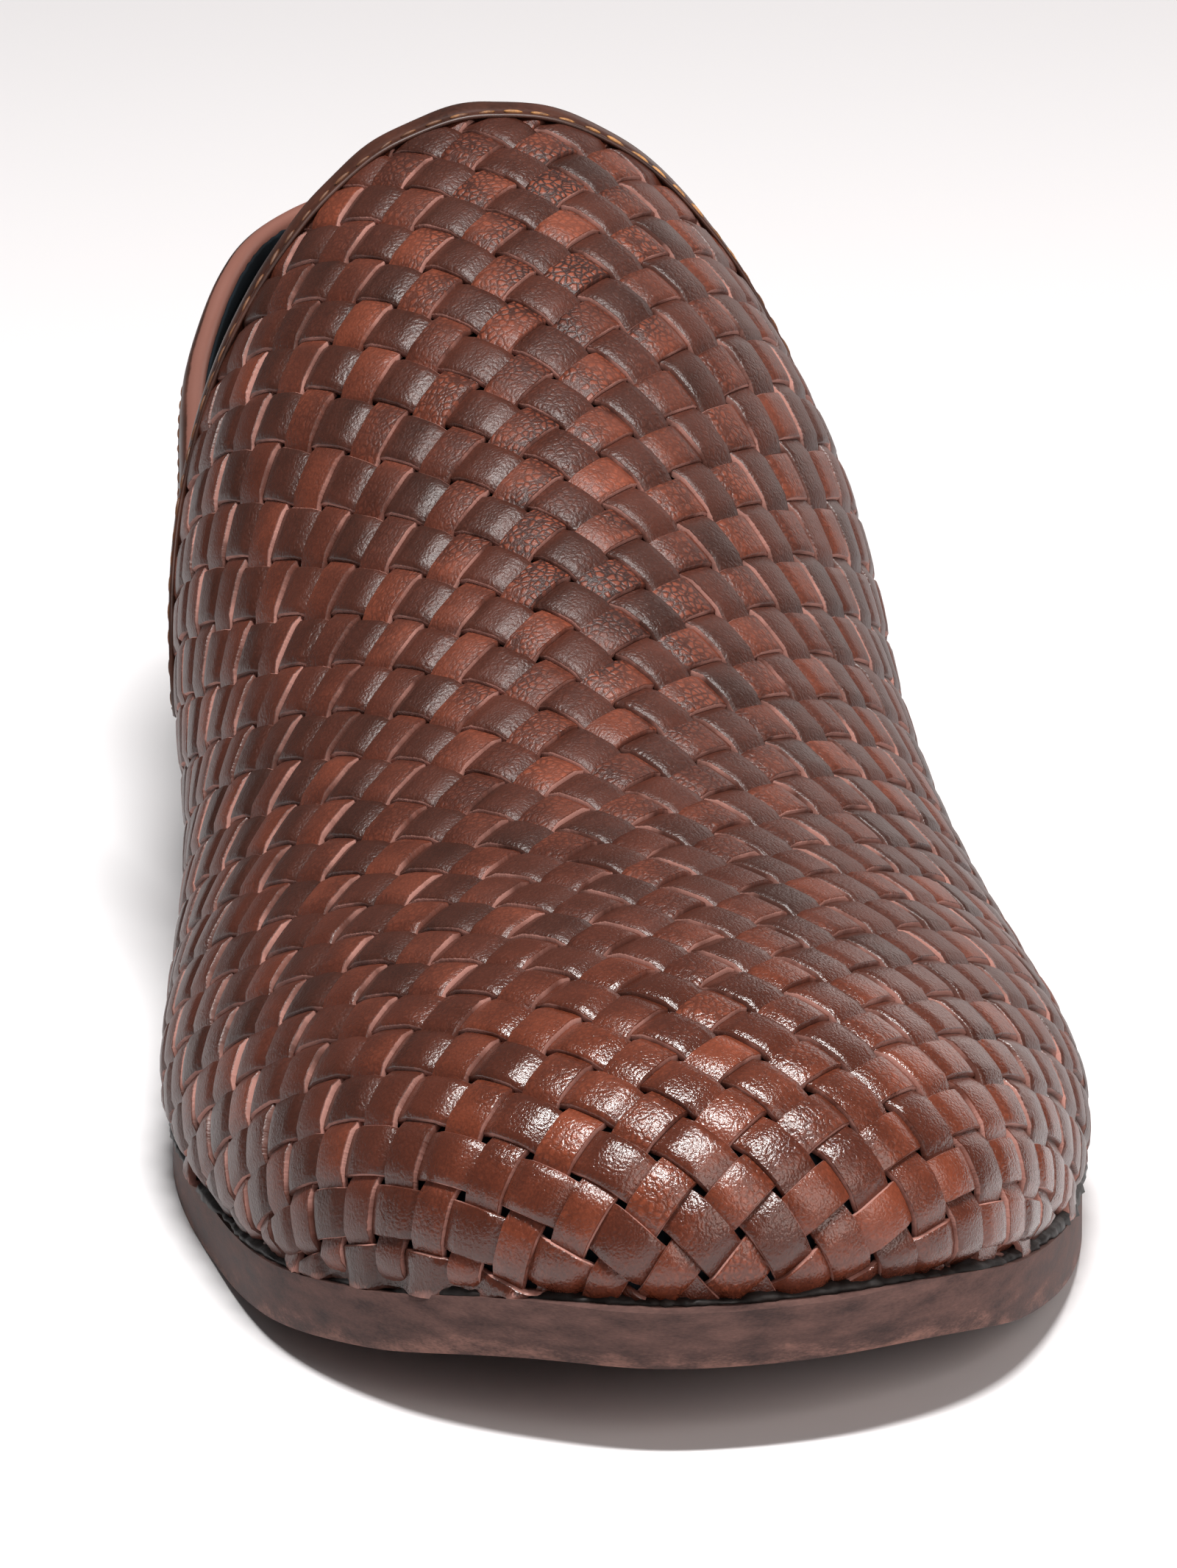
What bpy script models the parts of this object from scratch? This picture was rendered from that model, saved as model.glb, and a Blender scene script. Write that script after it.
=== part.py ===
"""Left slip-on slipper of hand-woven leather, built over the shape of its last.

Toe towards -Y, heel towards +Y, inner (medial) side at -X, outer (lateral) side at +X, ground at Z = 0.
The last is a ring of ribs. Each rib climbs from the feather line, where upper and sole meet, over the
wall to the ridge along the top of the foot. The upper is cut from a flat pattern of that last, and the
weave is a square lattice at 45 degrees in the flat pattern.
"""

from collections import namedtuple
from math import ceil, floor, sqrt

import bmesh
import bpy
import numpy as np
from mathutils import Matrix, Vector
from mathutils.geometry import delaunay_2d_cdt

# Driving sizes, in metres
LAST_LENGTH = 0.279
BALL_WIDTH = 0.094
INSTEP_HEIGHT = 0.090
TOE_SPRING = 0.0090
HEEL_HEIGHT = 0.0075
SOLE_THICKNESS = 0.0058
SOLE_LEDGE = 0.0024
SOLE_EDGE_ROUND = 0.0008
INSOLE_THICKNESS = 0.0025
INSOLE_INSET = 0.0010
WALL = 0.0016
STRIP_RELIEF = 0.0009
WEAVE_PITCH = 0.0060
BINDING_HEIGHT = 0.0028
BINDING_THICKNESS = 0.0034
HEEL_LIFT_TAPER = 0.0008
CLEARANCE = 0.0003
FEATHER_CLEARANCE = 0.0006

# Section of the binding: shares of half its thickness outwards and of its height upwards
BINDING_SHOULDER = 0.62
BINDING_TOP = 0.45

# One row for each rib of the last, from the toe tip round to the middle of the heel.
# Along values are shares of LAST_LENGTH from the toe, across values and bulges are shares of
# BALL_WIDTH from the middle line. Wall is how far up the rib stays steep, crown how far across
# it stays flat, and ledge is the share of SOLE_LEDGE by which the sole shows outside the upper.
Rib = namedtuple(
    "Rib",
    "ridge_along ridge_across inner_along inner_across outer_along outer_across"
    " wall crown inner_bulge outer_bulge ledge",
)
RIBS = (
    Rib(0.150, -0.020, 0.000, -0.020, 0.000, -0.020, 0.66, 0.56, 0.020, 0.020, 1.00),
    Rib(0.150, -0.020, 0.013, 0.155, 0.012, 0.160, 0.66, 0.56, 0.022, 0.022, 1.00),
    Rib(0.150, -0.020, 0.051, 0.305, 0.050, 0.308, 0.66, 0.56, 0.026, 0.026, 0.90),
    Rib(0.150, -0.020, 0.117, 0.420, 0.127, 0.426, 0.64, 0.56, 0.032, 0.036, 0.60),
    Rib(0.220, -0.030, 0.213, 0.476, 0.225, 0.502, 0.58, 0.54, 0.042, 0.044, 0.20),
    Rib(0.310, -0.025, 0.300, 0.495, 0.325, 0.506, 0.52, 0.46, 0.047, 0.046, 0.10),
    Rib(0.400, 0.000, 0.392, 0.464, 0.420, 0.480, 0.50, 0.42, 0.046, 0.050, 0.15),
    Rib(0.490, 0.020, 0.488, 0.410, 0.505, 0.448, 0.54, 0.52, 0.080, 0.062, 0.25),
    Rib(0.580, 0.030, 0.580, 0.376, 0.590, 0.424, 0.60, 0.72, 0.124, 0.082, 0.35),
    Rib(0.670, 0.025, 0.672, 0.352, 0.678, 0.394, 0.58, 0.72, 0.130, 0.072, 0.45),
    Rib(0.760, 0.010, 0.765, 0.334, 0.768, 0.366, 0.55, 0.74, 0.072, 0.054, 0.55),
    Rib(0.850, 0.000, 0.862, 0.322, 0.864, 0.336, 0.50, 0.72, 0.036, 0.036, 0.65),
    Rib(0.870, 0.000, 0.943, 0.240, 0.944, 0.246, 0.50, 0.75, 0.038, 0.038, 0.70),
    Rib(0.870, 0.000, 0.986, 0.128, 0.986, 0.130, 0.50, 0.75, 0.040, 0.040, 0.70),
    Rib(0.870, 0.000, 1.000, 0.000, 1.000, 0.000, 0.50, 0.75, 0.040, 0.040, 0.70),
)
HEEL_RIB = len(RIBS) - 1
HEEL_BREAST_RIB = 9.75

# Side views: along is a share of LAST_LENGTH, height a share of the size that the name says.
Row = namedtuple("Row", "along height")
RIDGE_OVER_SOLE = (
    Row(0.00, 0.330),
    Row(0.15, 0.369),
    Row(0.20, 0.383),
    Row(0.24, 0.392),
    Row(0.285, 0.412),
    Row(0.34, 0.462),
    Row(0.41, 0.560),
    Row(0.50, 0.695),
    Row(0.59, 0.820),
    Row(0.70, 0.935),
    Row(0.80, 1.000),
    Row(1.00, 1.020),
)
SPRING_OF_TOE = (
    Row(0.00, 1.00),
    Row(0.06, 0.62),
    Row(0.13, 0.27),
    Row(0.20, 0.06),
    Row(0.26, 0.00),
    Row(1.00, 0.00),
)
RISE_TO_HEEL = (
    Row(0.00, 0.00),
    Row(0.36, 0.00),
    Row(0.45, 0.12),
    Row(0.55, 0.55),
    Row(0.66, 0.94),
    Row(0.72, 1.00),
    Row(1.00, 1.00),
)

# The opening, in the flat pattern. On the tongue, across is the distance from the middle line as a
# share of BALL_WIDTH, and along is where its ridge lies. On the quarter, up is the height over the
# feather line as a share of HEEL_WALL, and along is where its feather line lies.
HEEL_WALL = 0.047
TongueRow = namedtuple("TongueRow", "along across")
TONGUE = (
    TongueRow(0.700, 0.00),
    TongueRow(0.693, 0.16),
    TongueRow(0.676, 0.31),
    TongueRow(0.656, 0.46),
    TongueRow(0.633, 0.60),
)
QuarterRow = namedtuple("QuarterRow", "along up")
QUARTER = (
    QuarterRow(0.600, 0.42),
    QuarterRow(0.625, 0.35),
    QuarterRow(0.680, 0.39),
    QuarterRow(0.760, 0.53),
    QuarterRow(0.850, 0.72),
    QuarterRow(0.935, 0.91),
    QuarterRow(1.000, 1.00),
)

# How the flat pattern is laid out
WALL_RIBS = (5.6, 8.0)
LEVEL_RIBS = (9.6, 12.5)
WALL_FROM_RIB = 6.0
RIDGE_OF_CELL = 0.24

# Fineness
RIB_STEPS = 16
CLIMB_STEPS = 48
EDGE_STEPS = 4
OPENING_STEPS = 4
INNER_EVERY = 2
WELD = 0.00002
PROBE = 0.0006
PROBE_RIBS = 0.05
SHARP_ANGLE = 0.7

LEATHER = ("woven brown leather", (0.150, 0.045, 0.028), 0.42)
EDGE_LEATHER = ("brown binding leather", (0.070, 0.030, 0.022), 0.50)
BLACK_LEATHER = ("black footbed leather", (0.012, 0.014, 0.018), 0.60)
SOLE_LEATHER = ("dark brown sole leather", (0.085, 0.045, 0.042), 0.70)
LIFT_LEATHER = ("heel lift leather", (0.055, 0.030, 0.028), 0.75)


def smooth_rows(rows, along):
    """Height at each place along, on a curve through the rows that never overshoots them."""
    places = np.array([row.along for row in rows])
    heights = np.array([row.height for row in rows])
    steps = np.diff(places)
    slopes = np.diff(heights) / steps
    tangents = np.zeros(len(rows))
    for i in range(1, len(rows) - 1):
        if slopes[i - 1] * slopes[i] > 0:
            first = 2 * steps[i] + steps[i - 1]
            second = steps[i] + 2 * steps[i - 1]
            tangents[i] = (first + second) / (first / slopes[i - 1] + second / slopes[i])
    along = np.clip(along, places[0], places[-1])
    i = np.clip(np.searchsorted(places, along, side="right") - 1, 0, len(rows) - 2)
    t = (along - places[i]) / steps[i]
    value = (1 + 2 * t) * (1 - t) ** 2 * heights[i]
    value += t * (1 - t) ** 2 * steps[i] * tangents[i]
    value += t * t * (3 - 2 * t) * heights[i + 1]
    value += t * t * (t - 1) * steps[i] * tangents[i + 1]
    return value


def smooth_ring(rows, place):
    """Values at each place on a closed smooth curve through the rows (uniform Catmull-Rom)."""
    count = len(rows)
    start = np.floor(place).astype(int)
    t = (place - start)[..., None]
    before, here, after, beyond = (rows[(start + shift) % count] for shift in (-1, 0, 1, 2))
    value = 2 * here + (after - before) * t
    value += (2 * before - 5 * here + 4 * after - beyond) * t**2
    value += (3 * here - before - 3 * after + beyond) * t**3
    return value / 2


def ease(low, high, value):
    """0 below low, 1 above high, and a smooth rise between."""
    t = np.clip((np.asarray(value, float) - low) / (high - low), 0, 1)
    return t * t * (3 - 2 * t)


def ground_under(y):
    """Height of the outsole's underside over the ground, y being the distance from the toe."""
    along = np.asarray(y) / LAST_LENGTH
    spring = TOE_SPRING * smooth_rows(SPRING_OF_TOE, along)
    return spring + HEEL_HEIGHT * smooth_rows(RISE_TO_HEEL, along)


def ridge_height(y):
    return SOLE_THICKNESS + INSTEP_HEIGHT * smooth_rows(RIDGE_OVER_SOLE, np.asarray(y) / LAST_LENGTH)


def rib_ring():
    """Rib values as rows of a ring: outer side from toe to heel, then inner side back to the toe."""
    rows = []
    for rib in RIBS:
        rows.append((rib.outer_across, rib.outer_along, rib.outer_bulge, rib))
    for rib in RIBS[-2:0:-1]:
        rows.append((-rib.inner_across, rib.inner_along, rib.inner_bulge, rib))
    return np.array(
        [
            (
                across * BALL_WIDTH,
                along * LAST_LENGTH,
                rib.ridge_across * BALL_WIDTH,
                rib.wall,
                rib.crown,
                bulge * BALL_WIDTH,
                rib.ledge * SOLE_LEDGE,
            )
            for across, along, bulge, rib in rows
        ]
    )


RING = rib_ring()
RIDGE_OF_RIB = tuple(Row(place, rib.ridge_along) for place, rib in enumerate(RIBS))


def last_point(place, climb):
    """Point on the last. Place counts ribs from the toe, minus on the inner side, climb is 0 at the
    feather line and 1 at the ridge."""
    place = np.asarray(place, float)
    foot_x, foot_y, ridge_x, wall, crown, bulge, _ = np.moveaxis(smooth_ring(RING, place), -1, 0)
    ridge_y = LAST_LENGTH * smooth_rows(RIDGE_OF_RIB, np.abs(place))
    foot_z = ground_under(foot_y) + SOLE_THICKNESS + FEATHER_CLEARANCE
    ridge_z = ridge_height(ridge_y)
    out_x = foot_x - ridge_x
    out_y = foot_y - ridge_y
    reach = np.hypot(out_x, out_y)
    out_x = out_x / reach
    out_y = out_y / reach
    slope = (ridge_height(ridge_y + PROBE) - ridge_height(ridge_y - PROBE)) / (2 * PROBE)
    foot = np.stack([foot_x, foot_y, foot_z], -1)
    side = foot + np.stack([out_x * bulge, out_y * bulge, wall * (ridge_z - foot_z)], -1)
    ridge = np.stack([ridge_x, ridge_y, ridge_z], -1)
    top = ridge + (crown * reach)[..., None] * np.stack([out_x, out_y, slope * out_y], -1)
    t = np.asarray(climb, float)[..., None]
    point = (1 - t) ** 3 * foot + 3 * (1 - t) ** 2 * t * side + 3 * (1 - t) * t * t * top + t**3 * ridge
    point[..., 1] -= LAST_LENGTH / 2
    return point


def lengths_along(points):
    """Distance run from the first point to each point of a polyline."""
    steps = np.linalg.norm(np.diff(points, axis=0), axis=-1)
    return np.concatenate([np.zeros_like(steps[:1]), np.cumsum(steps, axis=0)])


class SidePattern:
    """Flat pattern of one side of the upper, laid out with x away from the middle line.

    A rib is a straight line in the pattern. It starts at `foot`, runs along `inward` for `length`,
    and `climb_at` tells how far up the rib of the last each share of that length lies. The ridge is
    the line x = 0, and both sides have the same rows there, so that the weave runs on across it."""

    def __init__(self, side):
        self.places = np.linspace(0, HEEL_RIB, HEEL_RIB * RIB_STEPS + 1)
        self.side = side
        climbs = np.linspace(0, 1, CLIMB_STEPS + 1)
        grid = last_point(side * self.places[None, :], climbs[:, None])
        run = lengths_along(grid)
        self.girth = run[-1]
        share = run / self.girth
        even = np.linspace(0, 1, CLIMB_STEPS + 1)
        self.climb_at = np.stack(
            [np.interp(even, share[:, i], climbs) for i in range(len(self.places))]
        )
        ridge_run = lengths_along(grid[-1])
        outward = grid[0][:, :2] - grid[-1][:, :2]
        outward = outward / np.linalg.norm(outward, axis=1)[:, None]
        outward[:, 0] *= side
        self.ridge_run = ridge_run
        self.fan_foot = outward * self.girth[:, None]
        self.fan_foot[:, 1] += ridge_run
        self.feather_run = lengths_along(grid[0])

    def wall_rows(self, heel_y):
        """Flat y of each rib's foot behind the ball, with the last rib at heel_y."""
        start_y = np.interp(WALL_FROM_RIB, self.places, self.fan_foot[:, 1])
        run = self.feather_run - np.interp(WALL_FROM_RIB, self.places, self.feather_run)
        return start_y + run * (heel_y - start_y) / run[-1]

    def lay_out(self, wall_x, wall_rows, ridge_rows):
        """Turns the fan of ribs into nearly parallel ones behind the ball."""
        turn = ease(*WALL_RIBS, self.places)[:, None]
        level = ease(*LEVEL_RIBS, self.places)
        wall_foot = np.stack([(1 - level) * self.girth + level * wall_x, wall_rows], -1)
        wall_ridge = np.stack([wall_foot[:, 0] - self.girth, ridge_rows], -1)
        fan_ridge = np.stack([np.zeros(len(self.places)), self.ridge_run], -1)
        self.foot = (1 - turn) * self.fan_foot + turn * wall_foot
        self.ridge = (1 - turn) * fan_ridge + turn * wall_ridge
        rib = self.ridge - self.foot
        self.length = np.linalg.norm(rib, axis=1)
        self.inward = rib / self.length[:, None]

    def to_last(self, flat):
        """Place and climb on the last for flat points, with x from the middle line outwards."""
        offset = flat[:, None, :] - self.foot[None, :, :]
        cross = self.inward[:, 0] * offset[..., 1] - self.inward[:, 1] * offset[..., 0]
        after = np.argmax(cross > 0, axis=1)
        after = np.where((cross > 0).any(axis=1), after, len(self.places) - 1)
        after = np.maximum(after, 1)
        rows = np.arange(len(flat))
        low = cross[rows, after - 1]
        high = cross[rows, after]
        part = np.clip(low / (low - high + 1e-15), 0, 1)
        place = (after - 1 + part) / RIB_STEPS
        foot = self._between(self.foot, after, part)
        inward = self._between(self.inward, after, part)
        length = self._between(self.length[:, None], after, part)[:, 0]
        share = ((flat - foot) * inward).sum(axis=1) / length
        column = np.clip(share, 0, 1) * CLIMB_STEPS
        left = np.minimum(column.astype(int), CLIMB_STEPS - 1)
        step = column - left
        climb = np.zeros(len(flat))
        for index, weight in ((after - 1, 1 - part), (after, part)):
            row = self.climb_at
            climb += weight * ((1 - step) * row[index, left] + step * row[index, left + 1])
        climb += np.minimum(share, 0) + np.maximum(share - 1, 0)
        return self.side * place, climb

    @staticmethod
    def _between(values, after, part):
        return values[after - 1] * (1 - part)[:, None] + values[after] * part[:, None]


class Pattern:
    """Flat pattern of the whole upper: x is minus on the inner side, y runs from the toe to the heel."""

    def __init__(self):
        self.cell = sqrt(2) * WEAVE_PITCH
        self.outer = SidePattern(1)
        self.inner = SidePattern(-1)
        sides = (self.outer, self.inner)
        self.wall_x = sum(np.interp(LEVEL_RIBS[0], s.places, s.girth) for s in sides) / 2
        ends = [
            np.interp(WALL_FROM_RIB, s.places, s.fan_foot[:, 1])
            + s.feather_run[-1]
            - np.interp(WALL_FROM_RIB, s.places, s.feather_run)
            for s in sides
        ]
        half_cell = self.cell / 2
        self.heel_y = round(sum(ends) / 2 / half_cell) * half_cell
        rows = [s.wall_rows(self.heel_y) for s in sides]
        for s, wall_rows in zip(sides, rows):
            s.lay_out(self.wall_x, wall_rows, sum(rows) / 2)

    def surface(self, flat):
        """Points of the last at flat points. Past the heel line the pattern goes on round the heel."""
        flat = np.array(flat, float)
        past = flat[:, 1] > self.heel_y
        flat[past, 0] *= -1
        flat[past, 1] = 2 * self.heel_y - flat[past, 1]
        points = np.zeros((len(flat), 3))
        for side, pattern in ((1, self.outer), (-1, self.inner)):
            mine = (flat[:, 0] >= 0) if side > 0 else (flat[:, 0] < 0)
            if mine.any():
                place, climb = pattern.to_last(flat[mine] * np.array([side, 1.0]))
                points[mine] = last_point(place, climb)
        return points

    def normals(self, flat):
        """Outward normals of the last at flat points."""
        flat = np.asarray(flat, float)
        right = self.surface(flat + (PROBE, 0)) - self.surface(flat - (PROBE, 0))
        back = self.surface(flat + (0, PROBE)) - self.surface(flat - (0, PROBE))
        normal = np.cross(right, back)
        return normal / np.linalg.norm(normal, axis=1)[:, None]

    def relief(self, flat):
        """Share of the strip relief: a hip roof on each crossing, along the strip that lies on top."""
        across = (flat[:, 0] + flat[:, 1]) / self.cell
        back = (flat[:, 1] - flat[:, 0]) / self.cell
        column = np.floor(across)
        row = np.floor(back)
        u = across - column
        v = back - row
        swap = (column + row) % 2 == 1
        u, v = np.where(swap, v, u), np.where(swap, u, v)
        ends = 1 - np.abs(2 * v - 1)
        sides = np.minimum(u, 1 - u) / RIDGE_OF_CELL
        return np.minimum(ends, np.minimum(sides, 1))


PATTERN = Pattern()
MIRROR = np.array([-1.0, 1.0])


def flat_end(pattern, climb, ends, along):
    """Flat end of the rib that ends at a share of the length from the toe: its foot, which has climb 0,
    or its ridge, which has climb 1."""
    y = last_point(pattern.side * pattern.places, np.full(len(pattern.places), climb))[:, 1]
    wanted = (along - 0.5) * LAST_LENGTH
    return np.array([np.interp(wanted, y, ends[:, i]) for i in (0, 1)])


def opening_side(pattern):
    """Flat points of the opening's edge on one side, from the throat to the heel."""
    tongue = [flat_end(pattern, 1.0, pattern.ridge, row.along)[1] for row in TONGUE]
    rows = [(row.across * BALL_WIDTH, y) for row, y in zip(TONGUE, tongue)]
    feet = [flat_end(pattern, 0.0, pattern.foot, row.along) for row in QUARTER]
    rows += [foot - (row.up * HEEL_WALL, 0.0) for row, foot in zip(QUARTER, feet)]
    rows = np.array(rows)
    before = rows[1] * MIRROR
    after = np.array([rows[-2][0], 2 * rows[-1][1] - rows[-2][1]])
    control = np.vstack([before, rows, after])
    points = []
    for i in range(len(rows) - 1):
        for step in range(OPENING_STEPS):
            place = np.array([i + 1 + step / OPENING_STEPS])
            points.append(smooth_ring(control, place)[0])
    points.append(rows[-1])
    return np.array(points)


def pattern_outline():
    """Closed flat outline, turning left: the feather line round the toe, then the opening's edge."""
    outer_top = opening_side(PATTERN.outer)
    inner_top = opening_side(PATTERN.inner) * MIRROR
    step = RIB_STEPS // EDGE_STEPS
    outer_foot = PATTERN.outer.foot[::-step]
    inner_foot = PATTERN.inner.foot[::step] * MIRROR
    return np.vstack([inner_top[::-1], outer_top[1:], outer_foot, inner_foot[1:]])[::-1]


def inside(outline, points):
    """True for each flat point that lies within the closed outline."""
    x, y = points[:, 0], points[:, 1]
    result = np.zeros(len(points), bool)
    for (x0, y0), (x1, y1) in zip(outline, np.roll(outline, -1, axis=0)):
        crosses = (y0 > y) != (y1 > y)
        if y0 != y1:
            result ^= crosses & (x < (x1 - x0) * (y - y0) / (y1 - y0) + x0)
    return result


def weave_lines(outline):
    """Points and lines of every crossing that lies at least partly in the outline, and the crossings'
    corners that the smooth lining keeps. A crossing has four corners and the two ends of its roof."""
    cell = PATTERN.cell
    across = (outline[:, 1] + outline[:, 0]) / cell
    back = (outline[:, 1] - outline[:, 0]) / cell
    columns = range(floor(across.min()) - 1, ceil(across.max()) + 1)
    rows = range(floor(back.min()) - 1, ceil(back.max()) + 1)
    spans = [(u, v) for u in columns for v in rows]
    middles = np.array([((u - v) * cell / 2, (u + v + 1) * cell / 2) for u, v in spans])
    near = inside(outline, middles)
    for corner in np.array([(0, -1), (1, 0), (0, 1), (-1, 0)]) * cell / 2:
        near |= inside(outline, middles + corner)
    points, edges, index = [], [], {}

    def add(u, v):
        key = (round(u, 3), round(v, 3))
        if key not in index:
            index[key] = len(points)
            points.append(((u - v) * cell / 2, (u + v) * cell / 2))
        return index[key]

    for (u, v), keep in zip(spans, near):
        if not keep:
            continue
        ring = [add(u, v), add(u + 1, v), add(u + 1, v + 1), add(u, v + 1)]
        r = RIDGE_OF_CELL
        if (u + v) % 2 == 1:
            one, two = add(u + 0.5, v + r), add(u + 0.5, v + 1 - r)
            hips = ((ring[0], one), (ring[1], one), (ring[2], two), (ring[3], two))
        else:
            one, two = add(u + r, v + 0.5), add(u + 1 - r, v + 0.5)
            hips = ((ring[0], one), (ring[3], one), (ring[1], two), (ring[2], two))
        edges += [(a, b) for a, b in zip(ring, ring[1:] + ring[:1])]
        edges += [(one, two), *hips]
    coarse = [points[i] for (u, v), i in index.items() if u % INNER_EVERY == 0 == v % INNER_EVERY]
    return points, edges, np.array(coarse)


def fill_flat(outline, points=(), edges=()):
    """Triangles that fill a closed flat outline, following the extra points and edges in it."""
    count = len(outline)
    verts = [Vector(p) for p in outline] + [Vector(p) for p in points]
    lines = [(a + count, b + count) for a, b in edges]
    face = list(range(count))
    result = delaunay_2d_cdt(verts, lines, [face], 0, 1e-7, True)
    out_verts, _, out_faces, _, _, owners = result
    faces = [tuple(f) for f, owner in zip(out_faces, owners) if owner]
    used = sorted({i for f in faces for i in f})
    renumber = {old: new for new, old in enumerate(used)}
    flat = np.array([tuple(out_verts[i]) for i in used])
    return flat, [tuple(renumber[i] for i in f) for f in faces]


def border_loop(faces):
    """Vertices of the border of a filled outline, in order."""
    following = {}
    for face in faces:
        for a, b in zip(face, face[1:] + face[:1]):
            following[(a, b)] = True
    after = {a: b for (a, b) in following if (b, a) not in following}
    start = next(iter(after))
    loop = [start]
    while after[loop[-1]] != start:
        loop.append(after[loop[-1]])
    return loop


def new_material(name, colour, roughness):
    material = bpy.data.materials.new(name)
    material.use_nodes = True
    shader = material.node_tree.nodes["Principled BSDF"]
    shader.inputs["Base Color"].default_value = (*colour, 1)
    shader.inputs["Roughness"].default_value = roughness
    shader.inputs["Metallic"].default_value = 0
    material.diffuse_color = (*colour, 1)
    return material


def new_object(name, verts, faces, finish):
    """A mesh object with its doubled points joined and its faces turned outwards."""
    mesh = bpy.data.meshes.new(name)
    mesh.from_pydata([tuple(map(float, v)) for v in verts], [], faces)
    body = bmesh.new()
    body.from_mesh(mesh)
    bmesh.ops.remove_doubles(body, verts=body.verts, dist=WELD)
    bmesh.ops.recalc_face_normals(body, faces=body.faces)
    body.to_mesh(mesh)
    body.free()
    mesh.shade_smooth()
    mesh.set_sharp_from_angle(angle=SHARP_ANGLE)
    mesh.materials.append(new_material(*finish))
    thing = bpy.data.objects.new(name, mesh)
    bpy.context.collection.objects.link(thing)
    return thing


def build_upper():
    """One wall: strips raised on its outside, smooth inside, open at the top and underneath."""
    outline = pattern_outline()
    points, edges, coarse = weave_lines(outline)
    flat, faces = fill_flat(outline, points, edges)
    loop = border_loop(faces)
    inner_flat, inner_faces = fill_flat(flat[loop], coarse[inside(outline, coarse)])
    outside = PATTERN.surface(flat)
    outside += PATTERN.normals(flat) * (PATTERN.relief(flat) * STRIP_RELIEF)[:, None]
    lining = PATTERN.surface(inner_flat) - PATTERN.normals(inner_flat) * WALL
    count = len(outside)
    all_faces = list(faces)
    all_faces += [tuple(i + count for i in reversed(face)) for face in inner_faces]
    for a, b in zip(loop, loop[1:] + loop[:1]):
        on_seam = min(flat[a][1], flat[b][1]) > PATTERN.heel_y - WELD
        if not on_seam:
            below_a = count + nearest(inner_flat, flat[a])
            below_b = count + nearest(inner_flat, flat[b])
            all_faces.append((b, a, below_a))
            all_faces.append((b, below_a, below_b))
    return new_object("woven_upper", np.vstack([outside, lining]), all_faces, LEATHER)


def nearest(points, wanted):
    return int(np.argmin(((points - wanted) ** 2).sum(axis=1)))


def build_binding():
    """A folded leather edge that sits on the rim of the opening all the way round."""
    outer_top = opening_side(PATTERN.outer)
    inner_top = opening_side(PATTERN.inner) * MIRROR
    flat = np.vstack([inner_top[:0:-1], outer_top[:-1]])
    rim = PATTERN.surface(flat)
    normal = PATTERN.normals(flat)
    ahead = np.roll(rim, -1, axis=0) - np.roll(rim, 1, axis=0)
    ahead = ahead / np.linalg.norm(ahead, axis=1)[:, None]
    rise = np.cross(normal, ahead)
    rise = rise / np.linalg.norm(rise, axis=1)[:, None]
    middle = rim + normal * (STRIP_RELIEF - WALL) / 2
    half = BINDING_THICKNESS / 2
    section = (
        (-half, 0.0),
        (-half, BINDING_SHOULDER),
        (-half * BINDING_TOP, 1.0),
        (half * BINDING_TOP, 1.0),
        (half, BINDING_SHOULDER),
        (half, 0.0),
    )
    rings = [
        middle + normal * out + rise * (CLEARANCE + up * BINDING_HEIGHT) for out, up in section
    ]
    return new_object("topline_binding", *tube_faces(rings), EDGE_LEATHER)


def tube_faces(rings):
    """Points and faces of a closed tube whose sections lie across the given closed rings."""
    count = len(rings[0])
    verts = np.vstack(rings)
    faces = []
    for k in range(len(rings)):
        nxt = (k + 1) % len(rings)
        for i in range(count):
            j = (i + 1) % count
            faces.append((k * count + i, k * count + j, nxt * count + j, nxt * count + i))
    return verts, faces


def outline_points(places, offset, ledge=0.0):
    """Plan points of the feather line moved outwards by offset and by a share of the sole's ledge."""
    values = smooth_ring(RING, places)
    ahead = smooth_ring(RING, places + PROBE_RIBS) - smooth_ring(RING, places - PROBE_RIBS)
    out = np.stack([ahead[:, 1], -ahead[:, 0]], -1)
    out = out / np.linalg.norm(out, axis=1)[:, None]
    return values[:, :2] + out * (offset + ledge * values[:, -1])[:, None]


def layer_object(name, places, levels, finish):
    """A layer of the bottom. Places run from the toe or the breast to the heel, and each level is
    (offset, ledge share, height over the layer's base as a function of the distance from the toe)."""
    outer = list(places)
    inner = [-p for p in reversed(places) if 0 < p < HEEL_RIB]
    ring = np.array(outer + inner, float)
    count = len(ring)
    verts = []
    for offset, ledge, height in levels:
        plan = outline_points(ring, np.full(count, offset), ledge)
        z = height(plan[:, 1])
        verts.append(np.stack([plan[:, 0], plan[:, 1] - LAST_LENGTH / 2, z], -1))
    faces = []
    for k in range(len(levels) - 1):
        for i in range(count):
            j = (i + 1) % count
            faces.append((k * count + i, k * count + j, (k + 1) * count + j, (k + 1) * count + i))
    open_start = places[0] > 0
    last_outer = len(outer) - 1
    for base, flip in ((0, True), ((len(levels) - 1) * count, False)):
        for i in range(last_outer):
            left, right = base + i, base + i + 1
            far_left = base + (count - i - (1 if open_start else 0)) % count
            far_right = base + (count - i - 1 - (1 if open_start else 0)) % count
            face = [left, right, far_right, far_left]
            face = [v for n, v in enumerate(face) if v not in face[:n]]
            faces.append(tuple(reversed(face)) if flip else tuple(face))
    return new_object(name, np.vstack(verts), faces, finish)


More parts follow.
